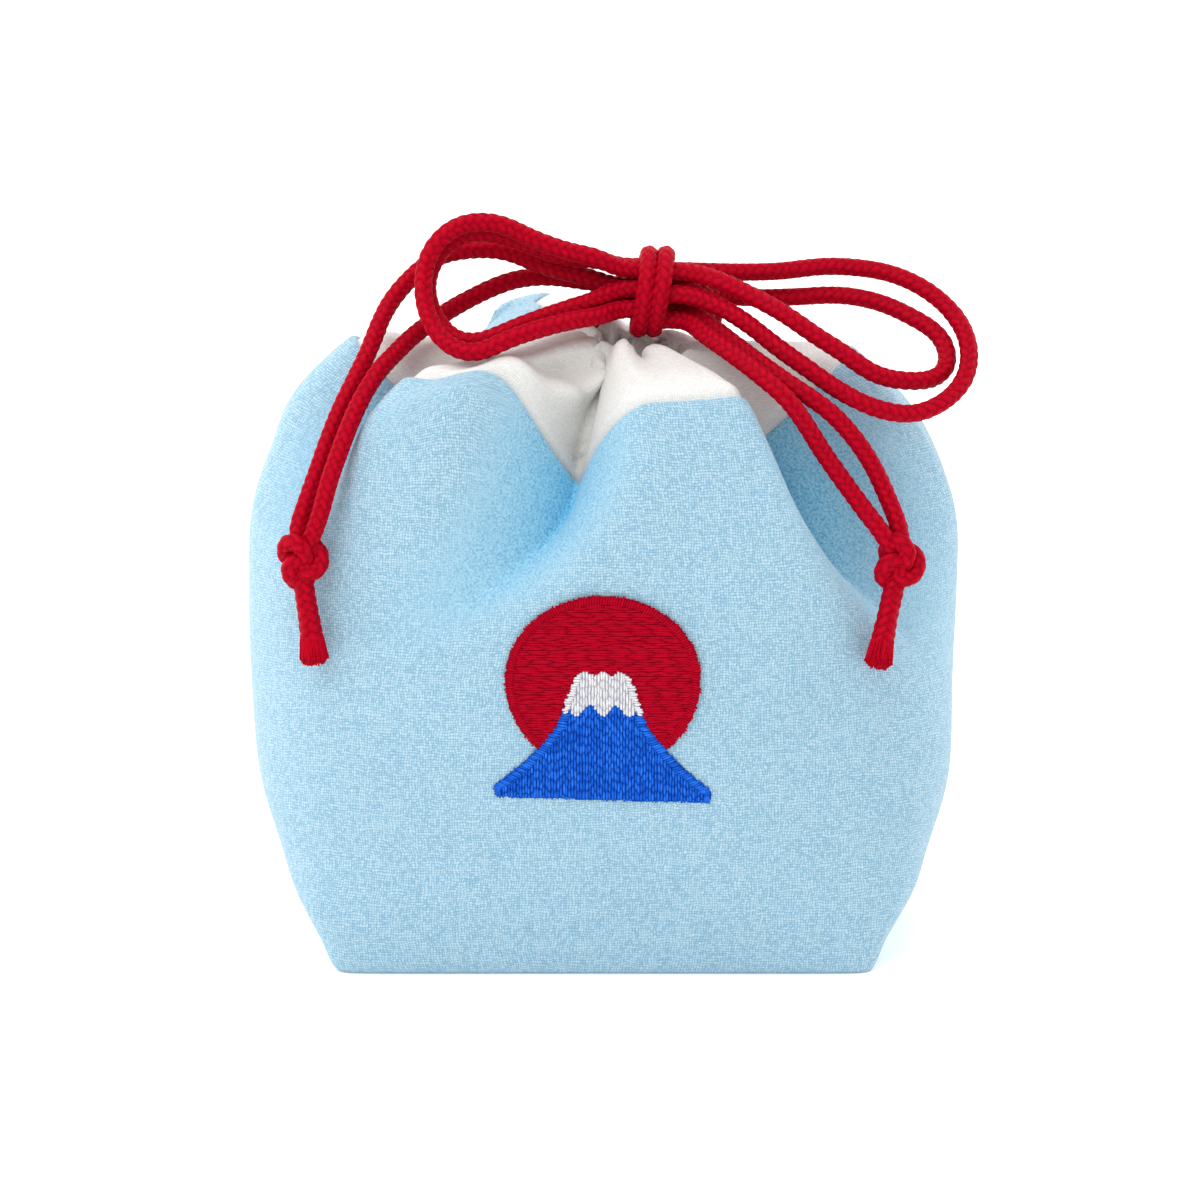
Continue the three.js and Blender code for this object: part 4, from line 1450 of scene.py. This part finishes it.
@dataclass
class Embroidery:
    """The stitched motif on the front: a sun behind a mountain with snow on its summit."""

    middle: float = -0.2
    sun_height: float = 55.2
    sun_radius: float = 16.8
    sun_crown: float = 14.8
    foot: float = 33.4
    shoulder: float = 49.6
    summit: float = 55.8
    foot_half: float = 21.5
    foot_cut: float = 18.7
    shoulder_half: float = 6.8
    summit_half: float = 4.6
    slope: float = 1.5
    tooth: float = 1.0
    teeth: int = 3
    tilt: float = 0.03
    foot_round: float = 0.9
    thread: float = 0.46
    flatness: float = 0.5
    row: float = 0.42
    upright_row: float = 0.5
    stitch: float = 3.6
    short_stitch: float = 1.7
    border: float = 1.4
    snow_border: float = 0.9
    satin_row: float = 0.48
    # Of the sun's edge, the slopes and the sides of the snow.
    slants: Triple = (0.15, 0.7, 0.4)
    ragged: float = 0.3
    uneven: float = 0.3
    wobble: float = 0.09
    shortest: float = 0.6
    row_span: Pair = (-20.0, 72.0)
    along_span: Pair = (-21.0, 72.0)
    along_step: float = 0.1
    satin_depths: Pair = (0.9, 1.12)
    satin_overhang: Pair = (-0.12, 0.42)
    thread_tones: Pair = (0.6, 1.0)
    # Shares of a thread's own thickness at its ends, and of its tone at its ends and on its underside,
    # where the lower tone is painted shade.
    end_thickness: float = 0.6
    end_painted_shade_tone: float = 0.5
    underside_painted_shade_tone: float = 0.66
    edge_points: int = 160
    sun_turns: Pair = (-44.0, 224.0)
    sun_points: int = 240
    lift: float = 0.35
    cover: float = 0.2
    crown: float = 0.1
    ground_lift: float = 0.3
    ground_step: float = 0.3
    # The ground's low tone gives it the thread's dark gap colour: painted shade under the threads.
    ground_painted_shade_tone: float = 0.15
    ground_width: Pair = (-19.5, 19.5)
    ground_height: Pair = (31.0, 71.0)
    stations: int = 6
    sides: int = 6

    def half(self, z: np.ndarray) -> np.ndarray:
        """Gives half the mountain's width at a height, with slopes that curve in to a blunt foot.

        Args:
            z: The heights.

        Returns:
            The half widths.
        """
        up = np.clip((z - self.foot) / (self.shoulder - self.foot), 0, 1)
        flank = self.shoulder_half + (self.foot_half - self.shoulder_half) * (1 - up) ** self.slope
        flank = np.minimum(flank, self.foot_cut)
        under = 1 - np.clip((z - self.foot) / self.foot_round, 0, 1)
        flank = flank - self.foot_round * (1 - np.sqrt(1 - under**2))
        cap = np.clip((z - self.shoulder) / (self.summit - self.shoulder), 0, 1)
        top = self.shoulder_half + (self.summit_half - self.shoulder_half) * cap
        return np.where(z < self.shoulder, flank, top)

    def inside(self, motif: Motif, x: np.ndarray, z: np.ndarray) -> np.ndarray:
        """Tells which places are in a field. The sun is clear of the mountain, which leans a little.

        Args:
            motif: The field.
            x: Places across the front.
            z: Heights.

        Returns:
            True for each place that is in it.
        """
        up = z + self.tilt * (x - self.middle)
        share = ((x - self.middle) / self.half(up) + 1) / 2
        snow_line = self.shoulder + self.tooth * np.cos(TURN * self.teeth * share)
        summit_line = self.summit + 0.8 * self.tooth * np.abs(np.sin(3 * math.pi * share))
        across = (share > 0) & (share < 1)
        mountain = across & (up > self.foot) & (up < snow_line)
        snow = across & (up >= snow_line) & (up < summit_line)
        rise = np.where(z > self.sun_height, self.sun_crown, self.sun_radius)
        disc = ((x - self.middle) / self.sun_radius) ** 2 + ((z - self.sun_height) / rise) ** 2 < 1
        return {Motif.SUN: disc & ~mountain & ~snow, Motif.MOUNTAIN: mountain, Motif.SNOW: snow}[motif]

    def fill(self, motif: Motif, run: Run, stitch: float, seed: int) -> np.ndarray:
        """Fills a field with rows of staggered stitches.

        Args:
            motif: The field.
            run: Which way the stitches lie.
            stitch: The length of a stitch.
            seed: The seed of the rows' unevenness.

        Returns:
            The stitches, as pairs of x and z.
        """
        rng = np.random.default_rng(seed)
        stitches = []
        rows = np.arange(*self.row_span, self.row if run is Run.LEVEL else self.upright_row)
        along = np.arange(*self.along_span, self.along_step)
        for row in rows:
            level = np.full(len(along), row)
            x, z = (along, level) if run is Run.LEVEL else (level, along)
            kept = self.inside(motif, x, z)
            edges = np.flatnonzero(np.diff(np.concatenate([[0], kept.astype(int), [0]])))
            for start, stop in zip(edges[::2], edges[1::2]):
                low = along[start] - rng.uniform(0, self.ragged)
                high = along[stop - 1] + rng.uniform(0, self.ragged)
                cuts = np.arange(low - stitch * rng.uniform(0, 1), high + stitch, stitch)
                cuts = cuts + rng.uniform(-self.uneven, self.uneven, len(cuts))
                kept_cuts = cuts[(cuts > low + self.shortest) & (cuts < high - self.shortest)]
                cuts = np.concatenate([[low], kept_cuts, [high]])
                for a, b in zip(cuts, cuts[1:]):
                    wobble = rng.uniform(-self.wobble, self.wobble, 2)
                    pair = [(a, row + wobble[0]), (b, row + wobble[1])]
                    stitches.append(pair if run is Run.LEVEL else [p[::-1] for p in pair])
        return np.array(stitches)

    def satin(self, edge: np.ndarray, border: float, slant: float, seed: int) -> np.ndarray:
        """Lays satin stitches side by side across the border along an edge.

        Args:
            edge: Points along the edge, with the field on the left of the way they go.
            border: How wide the border is.
            slant: How far a stitch's inner end lies ahead of its outer end.
            seed: The seed of the border's unevenness.

        Returns:
            The stitches, as pairs of x and z.
        """
        rng = np.random.default_rng(seed)
        flat = even_path(np.column_stack([edge, np.zeros(len(edge))]), self.satin_row)[:, :2]
        ahead = unit(np.gradient(flat, axis=0))
        inwards = np.column_stack([-ahead[:, 1], ahead[:, 0]])
        depth = border * rng.uniform(*self.satin_depths, len(flat))[:, None]
        outer = flat - inwards * rng.uniform(*self.satin_overhang, len(flat))[:, None]
        return np.stack([outer, flat + inwards * depth + ahead * slant], axis=1)

    def sew(self, stitches: np.ndarray, lift: float, seed: int) -> MeshParts:
        """Builds stitches as short rounded threads that dip into the cloth at both ends.

        Args:
            stitches: Pairs of x and z.
            lift: How high the threads' middles lie above the cloth.
            seed: The seed of the threads' tones.

        Returns:
            Points, faces and the tone of each point.
        """
        rng = np.random.default_rng(seed)
        t = np.linspace(0, 1, self.stations)
        t = 0.5 - 0.5 * np.cos(math.pi * t)
        spots = stitches[:, :1] + (stitches[:, 1:] - stitches[:, :1]) * t[None, :, None]
        turn, rise = FORM.front(spots[..., 0], spots[..., 1])
        place = FORM.wall(turn, rise)
        out, _ = FORM.facing(turn, rise)
        ahead = unit(np.gradient(place, axis=1))
        across = np.cross(out, ahead)
        arch = 1 - np.abs(2 * t - 1) ** 4
        thick = self.end_thickness + (1 - self.end_thickness) * arch
        middle = place + out * (lift - 0.5 * self.crown + self.crown * arch)[None, :, None]
        angle = np.arange(self.sides) * TURN / self.sides
        sine = self.flatness * np.sin(angle)
        ring = np.cos(angle)[:, None, None, None] * across + sine[:, None, None, None] * out
        points = middle[None] + 0.5 * self.thread * thick[None, None, :, None] * ring
        points = np.moveaxis(points, 0, 2).reshape(-1, 3)
        count = self.stations * self.sides
        one = np.array(ring_faces(self.stations, self.sides))
        faces = (one[None] + count * np.arange(len(stitches))[:, None, None]).reshape(-1, 4).tolist()
        bright = rng.uniform(*self.thread_tones, len(stitches))[:, None, None]
        # Painted shade: the tone is lowered towards each stitch's ends and on its underside; the random
        # tone of each stitch is the thread's own.
        along = self.end_painted_shade_tone + (1 - self.end_painted_shade_tone) * arch
        underside_shade = self.underside_painted_shade_tone + (1 - self.underside_painted_shade_tone) * np.sin(angle)
        tone = bright * along[None, :, None] * underside_shade[None, None, :]
        return points, faces, tone.ravel()

    def ground(self, motif: Motif) -> MeshParts:
        """Builds a dark sheet under a field's threads: painted shade that shows in the gaps between them.

        Args:
            motif: The field.

        Returns:
            Points, faces and the tone of each point.
        """
        step = self.ground_step
        xs = np.arange(*self.ground_width, step)
        x, z = np.meshgrid(xs, np.arange(*self.ground_height, step))
        turn, rise = FORM.front(x.ravel(), z.ravel())
        out, _ = FORM.facing(turn, rise)
        points = FORM.wall(turn, rise) + self.ground_lift * out
        wide = len(xs)
        middle = self.inside(motif, x[:-1, :-1] + step / 2, z[:-1, :-1] + step / 2)
        j, i = np.nonzero(middle)
        low = j * wide + i
        quads = np.stack([low, low + 1, low + wide + 1, low + wide], -1)
        used, renamed = np.unique(quads, return_inverse=True)
        return points[used], renamed.reshape(-1, 4).tolist(), np.full(len(used), self.ground_painted_shade_tone)

    def flank(self, low: float, high: float, side: Side) -> np.ndarray:
        """Gives the mountain's outline on one side, with the mountain on its left.

        Args:
            low: The height it starts from.
            high: The height it ends at.
            side: Which side.

        Returns:
            Points of x and z.
        """
        up = low + (high - low) * np.linspace(0, 1, self.edge_points) ** self.slope
        x = side.value * self.half(up)
        edge = np.column_stack([self.middle + x, up - self.tilt * x])
        return edge if side is Side.RIGHT else edge[::-1]

    def sun_edge(self) -> np.ndarray:
        """Gives the sun's outline, from the right slope over the top to the left one.

        Returns:
            Points of x and z.
        """
        angle = np.radians(np.linspace(*self.sun_turns, self.sun_points))
        rise = np.where(np.sin(angle) > 0, self.sun_crown, self.sun_radius)
        return np.column_stack([
            self.middle + self.sun_radius * np.cos(angle), self.sun_height + rise * np.sin(angle)
        ])

    def build(self) -> list[bpy.types.Object]:
        """Stitches the sun, the mountain and the snow.

        Returns:
            The three pieces.
        """
        sun, mountain, snow = parts = [[self.ground(motif)] for motif in Motif]
        rows = self.fill(Motif.SUN, Run.LEVEL, self.stitch, 11)
        sun.append(self.sew(rows, self.lift, 12))
        for field_parts, motif, seed in ((mountain, Motif.MOUNTAIN, 21), (snow, Motif.SNOW, 31)):
            rows = self.fill(motif, Run.UPRIGHT, self.short_stitch, seed)
            field_parts.append(self.sew(rows, self.lift, seed + 1))
        sun_slant, slope_slant, snow_slant = self.slants
        over = self.lift + self.cover
        sun.append(self.sew(self.satin(self.sun_edge(), self.border, sun_slant, 13), over, 14))
        for side in Side:
            way = side.value
            edge = self.flank(self.foot, self.shoulder - 1.0, side)
            rows = self.satin(edge, self.border, slope_slant * way, 24 + way)
            mountain.append(self.sew(rows, over, 27 + way))
            edge = self.flank(self.shoulder - 0.5, self.summit, side)
            rows = self.satin(edge, self.snow_border, snow_slant * way, 35)
            snow.append(self.sew(rows, over, 37 + way))
        threads = ((RED_THREAD, "thread_red"), (BLUE_THREAD, "thread_blue"), (WHITE_THREAD, "thread_white"))
        pieces = []
        for motif, field_parts, (thread, slot) in zip(Motif, parts, threads):
            finish = (thread.material(), thread.mark, slot)
            name = motif.value
            pieces.append(make_piece(f"stitched_{name}", f"{name}_patch", joined(field_parts), finish))
        return pieces


@dataclass
class Studio:
    """The camera, the pale sweep and the soft lights."""

    target: Triple = (-0.7, 0.0, 60.2)
    elevation: float = 15.0
    distance: float = 1000.0
    lens: float = 168.0
    sky: float = 0.8
    key: float = 4.3
    overhead: float = 2.6
    rim: float = 2.4
    backdrop: float = 14.0
    sweep_half: float = 2600.0
    sweep_bend: float = 900.0
    sweep_top: float = 3000.0

    def build_camera(self) -> bpy.types.Object:
        """Sets up the camera at the photograph's angle.

        Returns:
            The camera.
        """
        data = bpy.data.cameras.new("camera")
        data.sensor_width = 36.0
        data.lens = self.lens
        data.clip_start = 0.01
        data.clip_end = 20.0
        camera = bpy.data.objects.new("camera", data)
        tilt = math.radians(self.elevation)
        x, y, z = self.target
        place = (x, y - self.distance * math.cos(tilt), z + self.distance * math.sin(tilt))
        camera.location = [v * MM for v in place]
        camera.rotation_euler = (math.pi / 2 - tilt, 0.0, 0.0)
        bpy.context.scene.collection.objects.link(camera)
        bpy.context.scene.camera = camera
        return camera

    def build_floor(self) -> bpy.types.Object:
        """Builds the sweep: a floor that curves up into a backdrop.

        Returns:
            The sweep.
        """
        half = self.sweep_half
        radius = self.sweep_bend
        bend = np.radians(np.linspace(0, 90, 24))
        y = np.concatenate([[-half, 700.0], radius + radius * np.sin(bend), [2 * radius]])
        z = np.concatenate([[0.0, 0.0], radius - radius * np.cos(bend), [self.sweep_top]])
        points = np.concatenate([np.column_stack([np.full(len(y), x), y, z]) for x in (-half, half)])
        count = len(y)
        faces = [(i, count + i, count + i + 1, i + 1) for i in range(count - 1)]
        floor = add_mesh("sweep", points, faces, FloorFinish().material())
        return floor

    def add_light(self, name: str, place: Triple, size: float, power: float) -> bpy.types.Object:
        """Adds a square soft light that faces the pouch.

        Args:
            name: The light's name.
            place: Where it stands.
            size: The length of its side.
            power: Its power in watts.

        Returns:
            The light.
        """
        data = bpy.data.lights.new(name, "AREA")
        data.size = size * MM
        data.energy = power
        light = bpy.data.objects.new(name, data)
        away = np.array(place) - np.array(self.target)
        flat = math.hypot(away[0], away[1])
        light.rotation_euler = (math.atan2(flat, away[2]), 0.0, math.atan2(away[0], -away[1]))
        light.location = [v * MM for v in place]
        bpy.context.scene.collection.objects.link(light)
        return light

    def build_light(self) -> None:
        """Lights the scene: a bright sky, a key, one light overhead, two behind and a lit backdrop."""
        world = bpy.data.worlds.new("studio")
        world.use_nodes = True
        sky = world.node_tree.nodes["Background"]
        sky.inputs["Color"].default_value = linear(WHITE)
        sky.inputs["Strength"].default_value = self.sky
        bpy.context.scene.world = world
        bpy.context.scene.view_settings.view_transform = "Standard"
        self.add_light("key", (-360.0, -480.0, 760.0), 800.0, self.key)
        self.add_light("overhead", (0.0, -80.0, 1000.0), 700.0, self.overhead)
        self.add_light("rim_left", (-700.0, 260.0, 380.0), 500.0, self.rim)
        self.add_light("rim_right", (700.0, 260.0, 380.0), 500.0, self.rim)
        wall = self.add_light("backdrop", (0.0, 700.0, 1500.0), 1200.0, self.backdrop)
        wall.rotation_euler = (math.radians(70.0), 0.0, 0.0)


def main() -> None:
    """Builds the studio, the cords, the cloth and the embroidery in order."""
    logging.basicConfig(level=logging.INFO, format="%(name)s: %(message)s")
    studio = Studio()
    made = [studio.build_camera(), *Bow().build()]
    cloth = CrepeCloth()
    made += [cloth.build_body(), cloth.build_collar(), *Embroidery().build()]
    made.append(studio.build_floor())
    studio.build_light()
    for piece in made:
        count = len(piece.data.polygons) if piece.type == "MESH" else 0
        LOG.info("%s: %d faces", piece.name, count)


if __name__ == "__main__":
    main()
